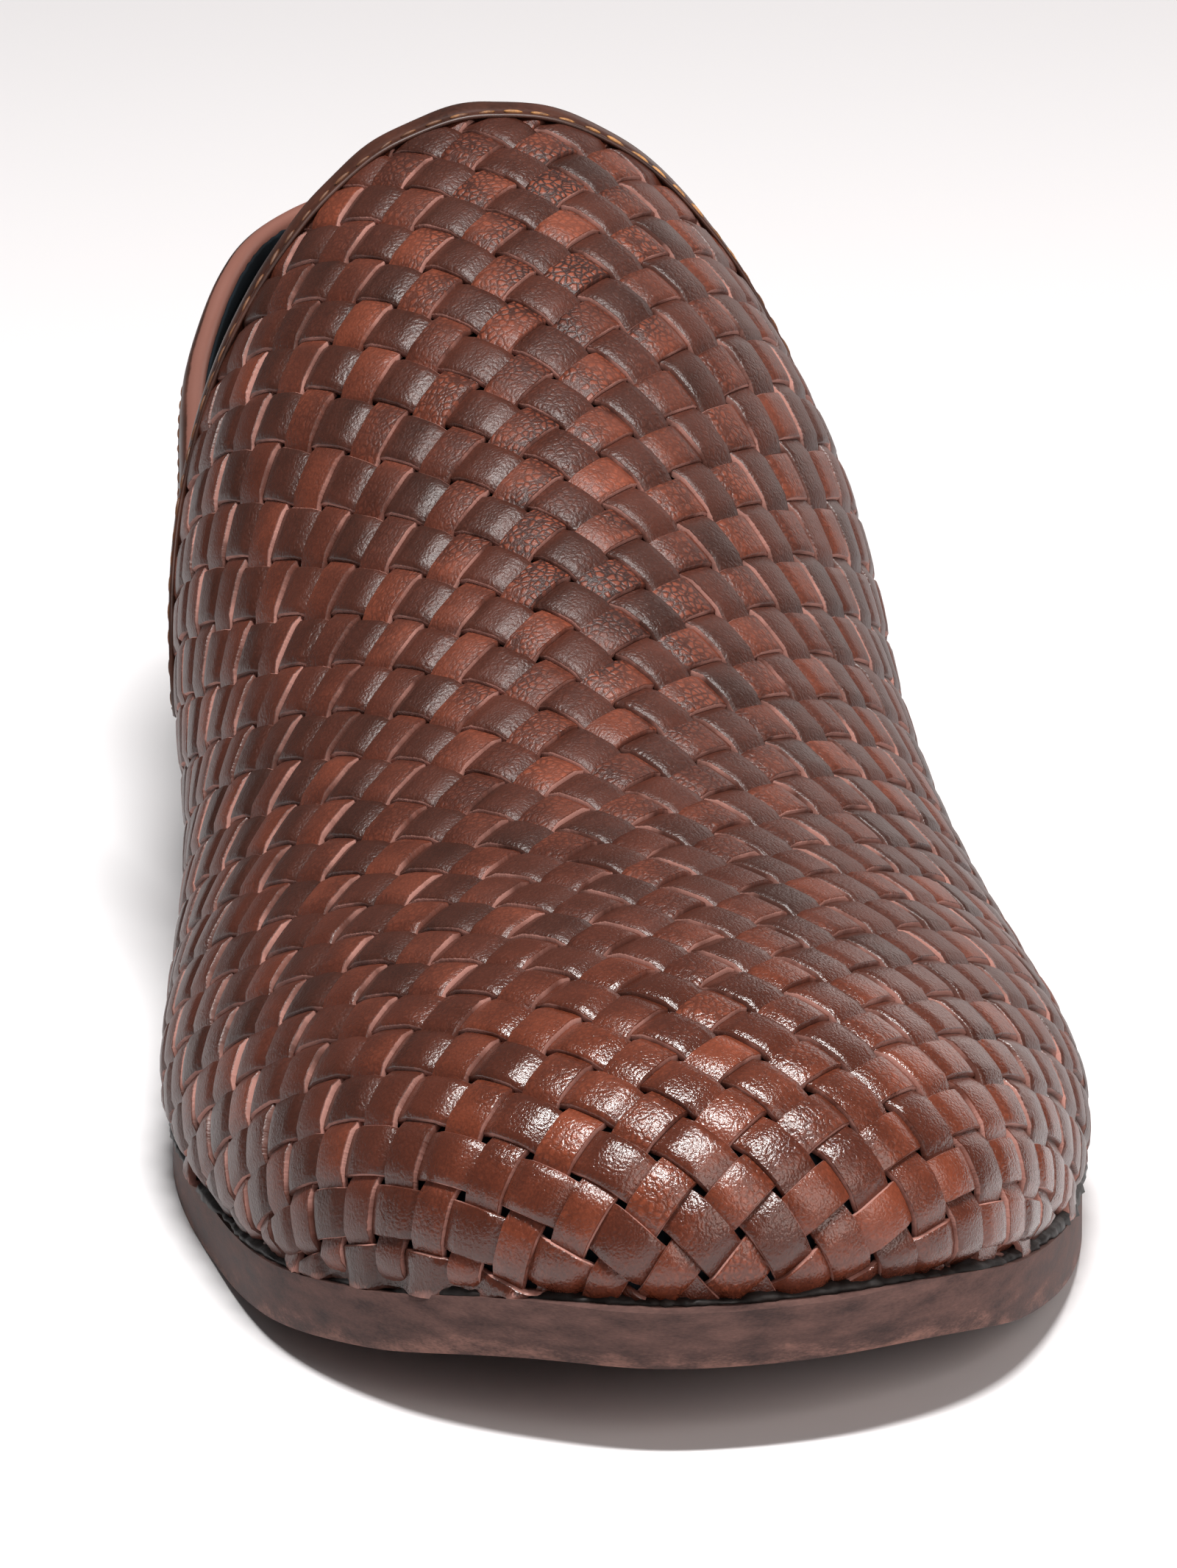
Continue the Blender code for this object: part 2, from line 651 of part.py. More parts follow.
def build_outsole():
    places = np.linspace(0, HEEL_RIB, HEEL_RIB * EDGE_STEPS + 1)
    edge = SOLE_EDGE_ROUND
    levels = (
        (-edge, 1.0, ground_under),
        (0.0, 1.0, lambda y: ground_under(y) + edge),
        (0.0, 1.0, lambda y: ground_under(y) + SOLE_THICKNESS - edge),
        (-edge, 1.0, lambda y: ground_under(y) + SOLE_THICKNESS),
    )
    return layer_object("outsole", places, levels, SOLE_LEATHER)


def build_insole():
    places = np.linspace(0, HEEL_RIB, HEEL_RIB * EDGE_STEPS // 2 + 1)
    inset = -(WALL + INSOLE_INSET)
    base = SOLE_THICKNESS + CLEARANCE
    levels = (
        (inset, 0.0, lambda y: ground_under(y) + base),
        (inset, 0.0, lambda y: ground_under(y) + base + INSOLE_THICKNESS),
    )
    return layer_object("insole", places, levels, BLACK_LEATHER)


def build_heel_lift():
    steps = round((HEEL_RIB - HEEL_BREAST_RIB) * EDGE_STEPS)
    places = np.linspace(HEEL_BREAST_RIB, HEEL_RIB, steps + 1)
    edge = SOLE_EDGE_ROUND
    top = HEEL_HEIGHT - CLEARANCE
    levels = (
        (-edge - HEEL_LIFT_TAPER, 1.0, lambda y: np.zeros(len(y))),
        (-HEEL_LIFT_TAPER, 1.0, lambda y: np.full(len(y), edge)),
        (-edge, 1.0, lambda y: np.full(len(y), top)),
    )
    return layer_object("heel_lift", places, levels, LIFT_LEATHER)


def centre_on_floor():
    """Moves the whole shoe so that its box is centred over the origin and stands on the ground."""
    corners = np.array([v.co for thing in bpy.data.objects for v in thing.data.vertices])
    low, high = corners.min(axis=0), corners.max(axis=0)
    shift = Matrix.Translation((-(low[0] + high[0]) / 2, -(low[1] + high[1]) / 2, -low[2]))
    for thing in bpy.data.objects:
        thing.data.transform(shift)


def main():
    for thing in list(bpy.data.objects):
        bpy.data.objects.remove(thing)
    build_outsole()
    build_heel_lift()
    build_insole()
    build_upper()
    build_binding()
    centre_on_floor()


main()
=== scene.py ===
"""Dresses the woven slip-on: real interlaced strips, binding, stitches, lining, sole and studio.

A left shoe. Toe towards -Y, heel towards +Y, inner side at -X, outer side at +X, ground at Z = 0.
The upper is laid out on a flat pattern of the last, where the two families of strips cross at 45
degrees. The last and the flat pattern are those of the CAD source, so every piece lies where its
solid lies.
"""

import logging
from dataclasses import dataclass, field
from enum import Enum
from math import ceil, cos, floor, radians, sin, sqrt
from typing import Any, NamedTuple

import bpy
import numpy as np
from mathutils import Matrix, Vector
from mathutils.geometry import delaunay_2d_cdt


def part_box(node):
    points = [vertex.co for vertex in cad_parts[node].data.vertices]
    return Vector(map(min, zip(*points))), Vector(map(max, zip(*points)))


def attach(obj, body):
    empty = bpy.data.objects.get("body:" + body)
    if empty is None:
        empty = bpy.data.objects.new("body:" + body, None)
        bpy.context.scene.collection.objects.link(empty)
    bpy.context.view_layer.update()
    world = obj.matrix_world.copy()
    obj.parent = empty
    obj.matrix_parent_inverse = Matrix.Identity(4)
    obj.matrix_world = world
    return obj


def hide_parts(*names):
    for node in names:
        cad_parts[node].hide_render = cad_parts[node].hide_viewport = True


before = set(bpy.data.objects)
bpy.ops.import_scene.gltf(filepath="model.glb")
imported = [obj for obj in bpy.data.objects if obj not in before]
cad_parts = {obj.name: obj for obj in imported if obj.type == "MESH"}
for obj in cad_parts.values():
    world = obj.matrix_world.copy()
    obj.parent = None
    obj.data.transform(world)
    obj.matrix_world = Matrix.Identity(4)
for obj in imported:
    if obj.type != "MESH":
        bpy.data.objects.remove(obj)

Array = np.ndarray
MM = 0.001
MIRROR = np.array([-1.0, 1.0])
LOG = logging.getLogger("slip-on")


class Rib(NamedTuple):
    """A rib of the last, as shares of the last's length and of the width over the ball."""

    ridge_along: float
    ridge_across: float
    inner_along: float
    inner_across: float
    outer_along: float
    outer_across: float
    wall: float
    crown: float
    inner_bulge: float
    outer_bulge: float
    ledge: float


class Row(NamedTuple):
    """A place on a curve: how far along the last it is, and its height."""

    along: float
    height: float


class TongueRow(NamedTuple):
    """A place on the tongue's edge: where its ridge lies, and its distance from the middle line."""

    along: float
    across: float


class QuarterRow(NamedTuple):
    """A place on the quarter's edge: where its feather line lies, and its height over it."""

    along: float
    up: float


RIBS = tuple(
    Rib(*row)
    for row in (
        (0.150, -0.020, 0.000, -0.020, 0.000, -0.020, 0.66, 0.56, 0.020, 0.020, 1.00),
        (0.150, -0.020, 0.013, 0.155, 0.012, 0.160, 0.66, 0.56, 0.022, 0.022, 1.00),
        (0.150, -0.020, 0.051, 0.305, 0.050, 0.308, 0.66, 0.56, 0.026, 0.026, 0.90),
        (0.150, -0.020, 0.117, 0.420, 0.127, 0.426, 0.64, 0.56, 0.032, 0.036, 0.60),
        (0.220, -0.030, 0.213, 0.476, 0.225, 0.502, 0.58, 0.54, 0.042, 0.044, 0.20),
        (0.310, -0.025, 0.300, 0.495, 0.325, 0.506, 0.52, 0.46, 0.047, 0.046, 0.10),
        (0.400, 0.000, 0.392, 0.464, 0.420, 0.480, 0.50, 0.42, 0.046, 0.050, 0.15),
        (0.490, 0.020, 0.488, 0.410, 0.505, 0.448, 0.54, 0.52, 0.080, 0.062, 0.25),
        (0.580, 0.030, 0.580, 0.376, 0.590, 0.424, 0.60, 0.72, 0.124, 0.082, 0.35),
        (0.670, 0.025, 0.672, 0.352, 0.678, 0.394, 0.58, 0.72, 0.130, 0.072, 0.45),
        (0.760, 0.010, 0.765, 0.334, 0.768, 0.366, 0.55, 0.74, 0.072, 0.054, 0.55),
        (0.850, 0.000, 0.862, 0.322, 0.864, 0.336, 0.50, 0.72, 0.036, 0.036, 0.65),
        (0.870, 0.000, 0.943, 0.240, 0.944, 0.246, 0.50, 0.75, 0.038, 0.038, 0.70),
        (0.870, 0.000, 0.986, 0.128, 0.986, 0.130, 0.50, 0.75, 0.040, 0.040, 0.70),
        (0.870, 0.000, 1.000, 0.000, 1.000, 0.000, 0.50, 0.75, 0.040, 0.040, 0.70),
    )
)
RIDGE_OVER_SOLE = tuple(
    Row(*row)
    for row in (
        (0.00, 0.330),
        (0.15, 0.369),
        (0.20, 0.383),
        (0.24, 0.392),
        (0.285, 0.412),
        (0.34, 0.462),
        (0.41, 0.560),
        (0.50, 0.695),
        (0.59, 0.820),
        (0.70, 0.935),
        (0.80, 1.000),
        (1.00, 1.020),
    )
)
SPRING_OF_TOE = tuple(
    Row(*row)
    for row in (
        (0.00, 1.00),
        (0.06, 0.62),
        (0.13, 0.27),
        (0.20, 0.06),
        (0.26, 0.00),
        (1.00, 0.00),
    )
)
RISE_TO_HEEL = tuple(
    Row(*row)
    for row in (
        (0.00, 0.00),
        (0.36, 0.00),
        (0.45, 0.12),
        (0.55, 0.55),
        (0.66, 0.94),
        (0.72, 1.00),
        (1.00, 1.00),
    )
)
TONGUE = tuple(
    TongueRow(*row)
    for row in (
        (0.700, 0.00),
        (0.693, 0.16),
        (0.676, 0.31),
        (0.656, 0.46),
        (0.633, 0.60),
    )
)
QUARTER = tuple(
    QuarterRow(*row)
    for row in (
        (0.600, 0.42),
        (0.625, 0.35),
        (0.680, 0.39),
        (0.760, 0.53),
        (0.850, 0.72),
        (0.935, 0.91),
        (1.000, 1.00),
    )
)


def smooth_rows(rows: tuple[Row, ...], along: Array) -> Array:
    """Reads a smooth curve through rows that never overshoots them.

    Args:
        rows: The curve's rows, in order along it.
        along: The places to read.

    Returns:
        The height at each place.
    """
    places = np.array([row.along for row in rows])
    heights = np.array([row.height for row in rows])
    steps = np.diff(places)
    slopes = np.diff(heights) / steps
    tangents = np.zeros(len(rows))
    for i in range(1, len(rows) - 1):
        if slopes[i - 1] * slopes[i] > 0:
            first = 2 * steps[i] + steps[i - 1]
            second = steps[i] + 2 * steps[i - 1]
            tangents[i] = (first + second) / (first / slopes[i - 1] + second / slopes[i])
    along = np.clip(along, places[0], places[-1])
    i = np.clip(np.searchsorted(places, along, side="right") - 1, 0, len(rows) - 2)
    t = (along - places[i]) / steps[i]
    value = (1 + 2 * t) * (1 - t) ** 2 * heights[i]
    value += t * (1 - t) ** 2 * steps[i] * tangents[i]
    value += t * t * (3 - 2 * t) * heights[i + 1]
    value += t * t * (t - 1) * steps[i] * tangents[i + 1]
    return value


def smooth_ring(rows: Array, place: Array) -> Array:
    """Reads a closed smooth curve through the rows of a ring.

    Args:
        rows: The ring's rows, one point or value row each.
        place: The places to read, in rows.

    Returns:
        The values at each place.
    """
    count = len(rows)
    start = np.floor(place).astype(int)
    t = (place - start)[..., None]
    before, here, after, beyond = (rows[(start + shift) % count] for shift in (-1, 0, 1, 2))
    value = 2 * here + (after - before) * t
    value += (2 * before - 5 * here + 4 * after - beyond) * t**2
    value += (3 * here - before - 3 * after + beyond) * t**3
    return value / 2


def ease(low: float, high: float, value: Array) -> Array:
    """Rises smoothly from 0 at low to 1 at high.

    Args:
        low: Where the rise starts.
        high: Where it ends.
        value: The values to read it at.

    Returns:
        The eased share for each value.
    """
    t = np.clip((np.asarray(value, float) - low) / (high - low), 0, 1)
    return t * t * (3 - 2 * t)


def lengths_along(points: Array) -> Array:
    """Measures a polyline.

    Args:
        points: Its points, along the first axis.

    Returns:
        The distance run from its first point to each point.
    """
    steps = np.linalg.norm(np.diff(points, axis=0), axis=-1)
    return np.concatenate([np.zeros_like(steps[:1]), np.cumsum(steps, axis=0)])


@dataclass
class Last:
    """The form that the shoe is made on: a ring of ribs from the feather line up to the ridge."""

    length: float = 0.279
    ball_width: float = 0.094
    instep_height: float = 0.090
    toe_spring: float = 0.0090
    heel_height: float = 0.0075
    sole_thickness: float = 0.0058
    sole_ledge: float = 0.0024
    feather_clearance: float = 0.0006
    probe: float = 0.0006
    turned_in: float = 0.45
    turned_down: float = 0.9
    shift: tuple[float, float] = (0.0, 0.0)
    ring: Array = field(init=False)
    heel_rib: int = field(init=False, default=len(RIBS) - 1)
    ridge_rows: tuple[Row, ...] = field(init=False)

    def __post_init__(self) -> None:
        """Lays the ribs out as a ring, outer side from toe to heel and inner side back."""
        sides = [(r.outer_across, r.outer_along, r.outer_bulge, r) for r in RIBS]
        sides += [(-r.inner_across, r.inner_along, r.inner_bulge, r) for r in RIBS[-2:0:-1]]
        width = self.ball_width
        self.ring = np.array(
            [
                (
                    across * width,
                    along * self.length,
                    rib.ridge_across * width,
                    rib.wall,
                    rib.crown,
                    bulge * width,
                    rib.ledge * self.sole_ledge,
                )
                for across, along, bulge, rib in sides
            ]
        )
        self.ridge_rows = tuple(Row(i, rib.ridge_along) for i, rib in enumerate(RIBS))

    def seat_on(self, low: Vector, high: Vector) -> None:
        """Finds how the CAD model was shifted to centre its box.

        Args:
            low: Lowest corner of the outsole's box.
            high: Highest corner of the outsole's box.
        """
        places = np.linspace(0, self.heel_rib, self.heel_rib * 4 + 1)
        plan = self.sole_plan(places, 0.0, 1.0)
        self.shift = (high.x - plan[:, 0].max(), high.y - plan[:, 1].max())
        LOG.info("last shifted by %.2f, %.2f mm", self.shift[0] / MM, self.shift[1] / MM)

    def ground_under(self, y: Array) -> Array:
        """Height of the outsole's underside, y being the distance from the toe."""
        along = np.asarray(y) / self.length
        spring = self.toe_spring * smooth_rows(SPRING_OF_TOE, along)
        return spring + self.heel_height * smooth_rows(RISE_TO_HEEL, along)

    def ridge_height(self, y: Array) -> Array:
        """Height of the ridge, y being the distance from the toe."""
        share = smooth_rows(RIDGE_OVER_SOLE, np.asarray(y) / self.length)
        return self.sole_thickness + self.instep_height * share

    def point(self, place: Array, climb: Array, below: Array | float = 0.0) -> Array:
        """Finds points on the last.

        Args:
            place: Ribs counted from the toe, minus on the inner side.
            climb: 0 at the feather line, 1 at the ridge.
            below: Distance past the feather line, where the leather turns under the last.

        Returns:
            The points.
        """
        place = np.asarray(place, float)
        values = np.moveaxis(smooth_ring(self.ring, place), -1, 0)
        foot_x, foot_y, ridge_x, wall, crown, bulge, _ = values
        ridge_y = self.length * smooth_rows(self.ridge_rows, np.abs(place))
        foot_z = self.ground_under(foot_y) + self.sole_thickness + self.feather_clearance
        ridge_z = self.ridge_height(ridge_y)
        out_x = foot_x - ridge_x
        out_y = foot_y - ridge_y
        reach = np.hypot(out_x, out_y)
        out_x, out_y = out_x / reach, out_y / reach
        probe = self.probe
        rise = self.ridge_height(ridge_y + probe) - self.ridge_height(ridge_y - probe)
        slope = rise / (2 * probe)
        foot = np.stack([foot_x, foot_y, foot_z], -1)
        lean = np.stack([out_x * bulge, out_y * bulge, wall * (ridge_z - foot_z)], -1)
        ridge = np.stack([ridge_x, ridge_y, ridge_z], -1)
        top = ridge + (crown * reach)[..., None] * np.stack([out_x, out_y, slope * out_y], -1)
        t = np.asarray(climb, float)[..., None]
        point = (1 - t) ** 3 * foot + 3 * (1 - t) ** 2 * t * (foot + lean)
        point = point + 3 * (1 - t) * t * t * top + t**3 * ridge
        down = np.full_like(out_x, self.turned_down)
        under = np.stack([self.turned_in * out_x, self.turned_in * out_y, down], -1)
        point = point - np.asarray(below, float)[..., None] * under
        point[..., 0] += self.shift[0]
        point[..., 1] += self.shift[1] - self.length / 2
        return point

    def sole_plan(self, places: Array, offset: float, ledge: float) -> Array:
        """Finds plan points beside the feather line.

        Args:
            places: Ribs counted from the toe, minus on the inner side.
            offset: Distance outwards.
            ledge: Share of the sole's own ledge to add.

        Returns:
            The plan points, one x and y each.
        """
        values = smooth_ring(self.ring, places)
        step = 0.05
        ahead = smooth_ring(self.ring, places + step) - smooth_ring(self.ring, places - step)
        out = np.stack([ahead[:, 1], -ahead[:, 0]], -1)
        out /= np.linalg.norm(out, axis=1)[:, None]
        plan = values[:, :2] + out * (offset + ledge * values[:, -1])[:, None]
        return plan + (self.shift[0], self.shift[1] - self.length / 2)


class SidePattern:
    """Flat pattern of one side of the upper, with x away from the middle line."""

    wall_ribs = (5.6, 8.0)
    level_ribs = (9.6, 12.5)
    wall_from_rib = 6.0
    rib_steps = 16
    climb_steps = 48

    def __init__(self, last: Last, side: int) -> None:
        """Measures the ribs of one side.

        Args:
            last: The last.
            side: 1 for the outer side, -1 for the inner side.
        """
        self.side = side
        self.places = np.linspace(0, last.heel_rib, last.heel_rib * self.rib_steps + 1)
        climbs = np.linspace(0, 1, self.climb_steps + 1)
        grid = last.point(side * self.places[None, :], climbs[:, None])
        run = lengths_along(grid)
        share = run / run[-1]
        even = np.linspace(0, 1, self.climb_steps + 1)
        columns = range(len(self.places))
        self.climb_at = np.stack([np.interp(even, share[:, i], climbs) for i in columns])
        self.girth = run[-1]
        self.ridge_run = lengths_along(grid[-1])
        outward = grid[0][:, :2] - grid[-1][:, :2]
        outward = outward / np.linalg.norm(outward, axis=1)[:, None]
        outward[:, 0] *= side
        self.fan_foot = outward * self.girth[:, None]
        self.fan_foot[:, 1] += self.ridge_run
        self.feather_run = lengths_along(grid[0])
        self.foot_y = grid[0][:, 1] - last.shift[1]
        self.ridge_y = grid[-1][:, 1] - last.shift[1]

    def wall_rows(self, heel_y: float) -> Array:
        """Flat y of each rib's foot behind the ball, with the last rib at heel_y."""
        start_y = np.interp(self.wall_from_rib, self.places, self.fan_foot[:, 1])
        start_run = np.interp(self.wall_from_rib, self.places, self.feather_run)
        run = self.feather_run - start_run
        return start_y + run * (heel_y - start_y) / run[-1]

    def lay_out(self, wall_x: float, wall_rows: Array, ridge_rows: Array) -> None:
        """Turns the fan of ribs into nearly parallel ones behind the ball.

        Args:
            wall_x: Flat x of the feather line at the heel.
            wall_rows: Flat y of each rib's foot.
            ridge_rows: Flat y of each rib's ridge, the same for both sides.
        """
        turn = ease(*self.wall_ribs, self.places)[:, None]
        level = ease(*self.level_ribs, self.places)
        wall_foot = np.stack([(1 - level) * self.girth + level * wall_x, wall_rows], -1)
        wall_ridge = np.stack([wall_foot[:, 0] - self.girth, ridge_rows], -1)
        fan_ridge = np.stack([np.zeros(len(self.places)), self.ridge_run], -1)
        self.foot = (1 - turn) * self.fan_foot + turn * wall_foot
        self.ridge = (1 - turn) * fan_ridge + turn * wall_ridge
        rib = self.ridge - self.foot
        self.length = np.linalg.norm(rib, axis=1)
        self.inward = rib / self.length[:, None]

    def to_last(self, flat: Array) -> tuple[Array, Array, Array]:
        """Finds flat points on the last.

        Args:
            flat: Flat points, with x from the middle line outwards.

        Returns:
            Place, climb and height over the feather line for each point.
        """
        cross = self.inward[:, 0] * (flat[:, None, 1] - self.foot[None, :, 1])
        cross -= self.inward[:, 1] * (flat[:, None, 0] - self.foot[None, :, 0])
        ahead = cross > 0
        after = np.where(ahead.any(axis=1), np.argmax(ahead, axis=1), len(self.places) - 1)
        after = np.maximum(after, 1)
        rows = np.arange(len(flat))
        low, high = cross[rows, after - 1], cross[rows, after]
        part = np.clip(low / (low - high + 1e-15), 0, 1)
        part_2d = part[:, None]
        foot = self.foot[after - 1] * (1 - part_2d) + self.foot[after] * part_2d
        inward = self.inward[after - 1] * (1 - part_2d) + self.inward[after] * part_2d
        length = self.length[after - 1] * (1 - part) + self.length[after] * part
        share = ((flat - foot) * inward).sum(axis=1) / length
        column = np.clip(share, 0, 1) * self.climb_steps
        left = np.minimum(column.astype(int), self.climb_steps - 1)
        step = column - left
        climb = np.zeros(len(flat))
        for index, weight in ((after - 1, 1 - part), (after, part)):
            row = self.climb_at
            climb += weight * ((1 - step) * row[index, left] + step * row[index, left + 1])
        climb += np.maximum(share - 1, 0)
        return self.side * (after - 1 + part) / self.rib_steps, climb, share * length


class FlatPattern:
    """Flat pattern of the whole upper, minus x on the inner side, y from the toe to the heel."""

    heel_wall = 0.047
    chunk = 20000

    def __init__(self, last: Last, pitch: float) -> None:
        """Lays both sides out so that the weave runs on across the ridge and round the heel.

        Args:
            last: The last.
            pitch: Distance from one strip to the next.
        """
        self.last = last
        self.cell = sqrt(2) * pitch
        self.outer = SidePattern(last, 1)
        self.inner = SidePattern(last, -1)
        sides = (self.outer, self.inner)
        wall_x = sum(np.interp(s.level_ribs[0], s.places, s.girth) for s in sides) / 2
        ends = [
            np.interp(s.wall_from_rib, s.places, s.fan_foot[:, 1])
            + s.feather_run[-1]
            - np.interp(s.wall_from_rib, s.places, s.feather_run)
            for s in sides
        ]
        half_cell = self.cell / 2
        self.heel_y = round(sum(ends) / 2 / half_cell) * half_cell
        rows = [s.wall_rows(self.heel_y) for s in sides]
        for s, wall_rows in zip(sides, rows):
            s.lay_out(wall_x, wall_rows, sum(rows) / 2)

    def folded(self, flat: Array) -> Array:
        """Brings points past the heel line round to the other side."""
        flat = np.array(flat, float)
        past = flat[:, 1] > self.heel_y
        flat[past, 0] *= -1
        flat[past, 1] = 2 * self.heel_y - flat[past, 1]
        return flat

    def surface(self, flat: Array) -> tuple[Array, Array]:
        """Finds flat points on the last.

        Args:
            flat: The flat points.

        Returns:
            The points, and their heights over the feather line along the leather.
        """
        flat = self.folded(flat)
        points = np.zeros((len(flat), 3))
        above = np.zeros(len(flat))
        for pattern, mine in (
            (self.outer, np.flatnonzero(flat[:, 0] >= 0)),
            (self.inner, np.flatnonzero(flat[:, 0] < 0)),
        ):
            for start in range(0, len(mine), self.chunk):
                part = mine[start : start + self.chunk]
                local = flat[part] * (pattern.side, 1.0)
                place, climb, up = pattern.to_last(local)
                points[part] = self.last.point(place, climb, np.maximum(-up, 0))
                above[part] = up
        return points, above

    def skin(self, flat: Array) -> tuple[Array, Array, Array]:
        """Finds flat points on the last together with the way out.

        Args:
            flat: The flat points.

        Returns:
            The points, the outward normals, and the heights over the feather line.
        """
        probe = self.last.probe
        points, above = self.surface(flat)
        right = self.surface(flat + (probe, 0))[0] - self.surface(flat - (probe, 0))[0]
        back = self.surface(flat + (0, probe))[0] - self.surface(flat - (0, probe))[0]
        normal = np.cross(right, back)
        normal /= np.linalg.norm(normal, axis=1)[:, None] + 1e-15
        return points, normal, above

    def opening_side(self, pattern: SidePattern, steps: int) -> Array:
        """Draws the opening's edge on one side.

        Args:
            pattern: The side.
            steps: Points from one row to the next.

        Returns:
            Flat points from the throat to the heel.
        """
        width, length = self.last.ball_width, self.last.length
        rows = []
        for row in TONGUE:
            y = np.interp((row.along - 0.5) * length, pattern.ridge_y, pattern.ridge[:, 1])
            rows.append((row.across * width, y))
        for row in QUARTER:
            wanted = (row.along - 0.5) * length
            x, y = (np.interp(wanted, pattern.foot_y, pattern.foot[:, i]) for i in (0, 1))
            rows.append((x - row.up * self.heel_wall, y))
        rows = np.array(rows)
        before = rows[1] * MIRROR
        after = np.array([rows[-2][0], 2 * rows[-1][1] - rows[-2][1]])
        control = np.vstack([before, rows, after])
        places = 1 + np.arange((len(rows) - 1) * steps + 1) / steps
        return smooth_ring(control, places)

    def rim(self, steps: int) -> Array:
        """Draws the whole opening's edge.

        Args:
            steps: Points from one row to the next.

        Returns:
            Flat points of the closed rim.
        """
        outer = self.opening_side(self.outer, steps)
        inner = self.opening_side(self.inner, steps) * MIRROR
        return np.vstack([inner[:0:-1], outer[:-1]])

    def outline(self, steps: int, margin: float) -> Array:
        """Draws the upper's closed flat outline, turning left.

        Args:
            steps: Points from one row of the opening to the next.
            margin: How far the leather goes on past the feather line.

        Returns:
            The outline's flat points.
        """
        outer_top = self.opening_side(self.outer, steps)
        inner_top = self.opening_side(self.inner, steps) * MIRROR
        outer_foot = (self.outer.foot - self.outer.inward * margin)[::-1]
        inner_foot = (self.inner.foot - self.inner.inward * margin) * MIRROR
        return np.vstack([inner_top[::-1], outer_top[1:], outer_foot, inner_foot[1:]])[::-1]


def inside(outline: Array, points: Array) -> Array:
    """Tests which flat points lie within a closed outline.

    Args:
        outline: The outline's points.
        points: The points to test.

    Returns:
        True for each point within.
    """
    x, y = points[:, 0], points[:, 1]
    result = np.zeros(len(points), bool)
    for (x0, y0), (x1, y1) in zip(outline, np.roll(outline, -1, axis=0)):
        if y0 != y1:
            crosses = (y0 > y) != (y1 > y)
            result ^= crosses & (x < (x1 - x0) * (y - y0) / (y1 - y0) + x0)
    return result


def snap_to(outline: Array, points: Array) -> Array:
    """Moves flat points to the nearest point of a closed outline.

    Args:
        outline: The outline's points.
        points: The points to move.

    Returns:
        The moved points.
    """
    best = np.full(len(points), np.inf)
    result = points.copy()
    for start, end in zip(outline, np.roll(outline, -1, axis=0)):
        edge = end - start
        size = (edge * edge).sum()
        if size < 1e-16:
            continue
        t = np.clip(((points - start) @ edge) / size, 0, 1)
        near = start + t[:, None] * edge
        distance = ((points - near) ** 2).sum(axis=1)
        closer = distance < best
        best[closer] = distance[closer]
        result[closer] = near[closer]
    return result


def linear(hex_colour: str) -> tuple[float, float, float, float]:
    """Turns an sRGB hex colour to linear.

    Args:
        hex_colour: Six hex digits after a hash.

    Returns:
        Linear red, green and blue, and alpha 1.
    """
    parts = [int(hex_colour[i : i + 2], 16) / 255 for i in (1, 3, 5)]
    red, green, blue = (
        c / 12.92 if c <= 0.04045 else ((c + 0.055) / 1.055) ** 2.4 for c in parts
    )
    return (red, green, blue, 1.0)


class NodeRow(NamedTuple):
    """A node of a finish: its name, its kind, the output that others read, and its values."""

    name: str
    kind: str
    output: str | int
    settings: dict[str, Any]
    inputs: dict[str | int, Any] | tuple[Any, ...]


Sockets = dict[str, bpy.types.NodeSocket]
TIMES = {"operation": "MULTIPLY"}
TIMES_PLUS = {"operation": "MULTIPLY_ADD"}
CLAMPED_PLUS = {"operation": "MULTIPLY_ADD", "use_clamp": True}
CLAMPED_SUM = {"operation": "ADD", "use_clamp": True}
SOFTLY = {"interpolation_type": "SMOOTHSTEP"}
COLOURS = {"data_type": "RGBA"}
NUMBERS = {"data_type": "FLOAT"}
MIXED_COLOUR = 2


def add_node(tree: bpy.types.NodeTree, row: NodeRow, made: Sockets) -> bpy.types.NodeSocket:
    """Adds a node with its settings and links.

    Args:
        tree: The material's node tree.
        row: The node. Its setting "stops" fills a colour ramp.
        made: Outputs of the rows before it, by name.

    Returns:
        The output that the row names.
    """
    node = tree.nodes.new("ShaderNode" + row.kind)
    for name, value in row.settings.items():
        if name != "stops":
            setattr(node, name, value)
            continue
        ramp = node.color_ramp
        while len(ramp.elements) < len(value):
            ramp.elements.new(0.5)
        for element, (place, colour) in zip(ramp.elements, value):
            element.position = place
            element.color = linear(colour)
    fill_inputs(tree, node, row.inputs, made)
    return node.outputs[row.output]


def fill_inputs(
    tree: bpy.types.NodeTree,
    node: bpy.types.Node,
    inputs: dict[str | int, Any] | tuple[Any, ...],
    made: Sockets,
) -> None:
    """Sets or links a node's inputs.

    Args:
        tree: The material's node tree.
        node: The node.
        inputs: Plain values, hex colours or names of earlier rows, by name or in order.
        made: Outputs of the rows before it, by name.
    """
    named = inputs if isinstance(inputs, dict) else dict(enumerate(inputs))
    for name, value in named.items():
        if isinstance(value, str) and value in made:
            tree.links.new(made[value], node.inputs[name])
        else:
            plain = linear(value) if isinstance(value, str) else value
            node.inputs[name].default_value = plain


def per_metre(size_mm: float) -> float:
    """Pattern scale for a feature of a real size in millimetres."""
    return 1000.0 / size_mm


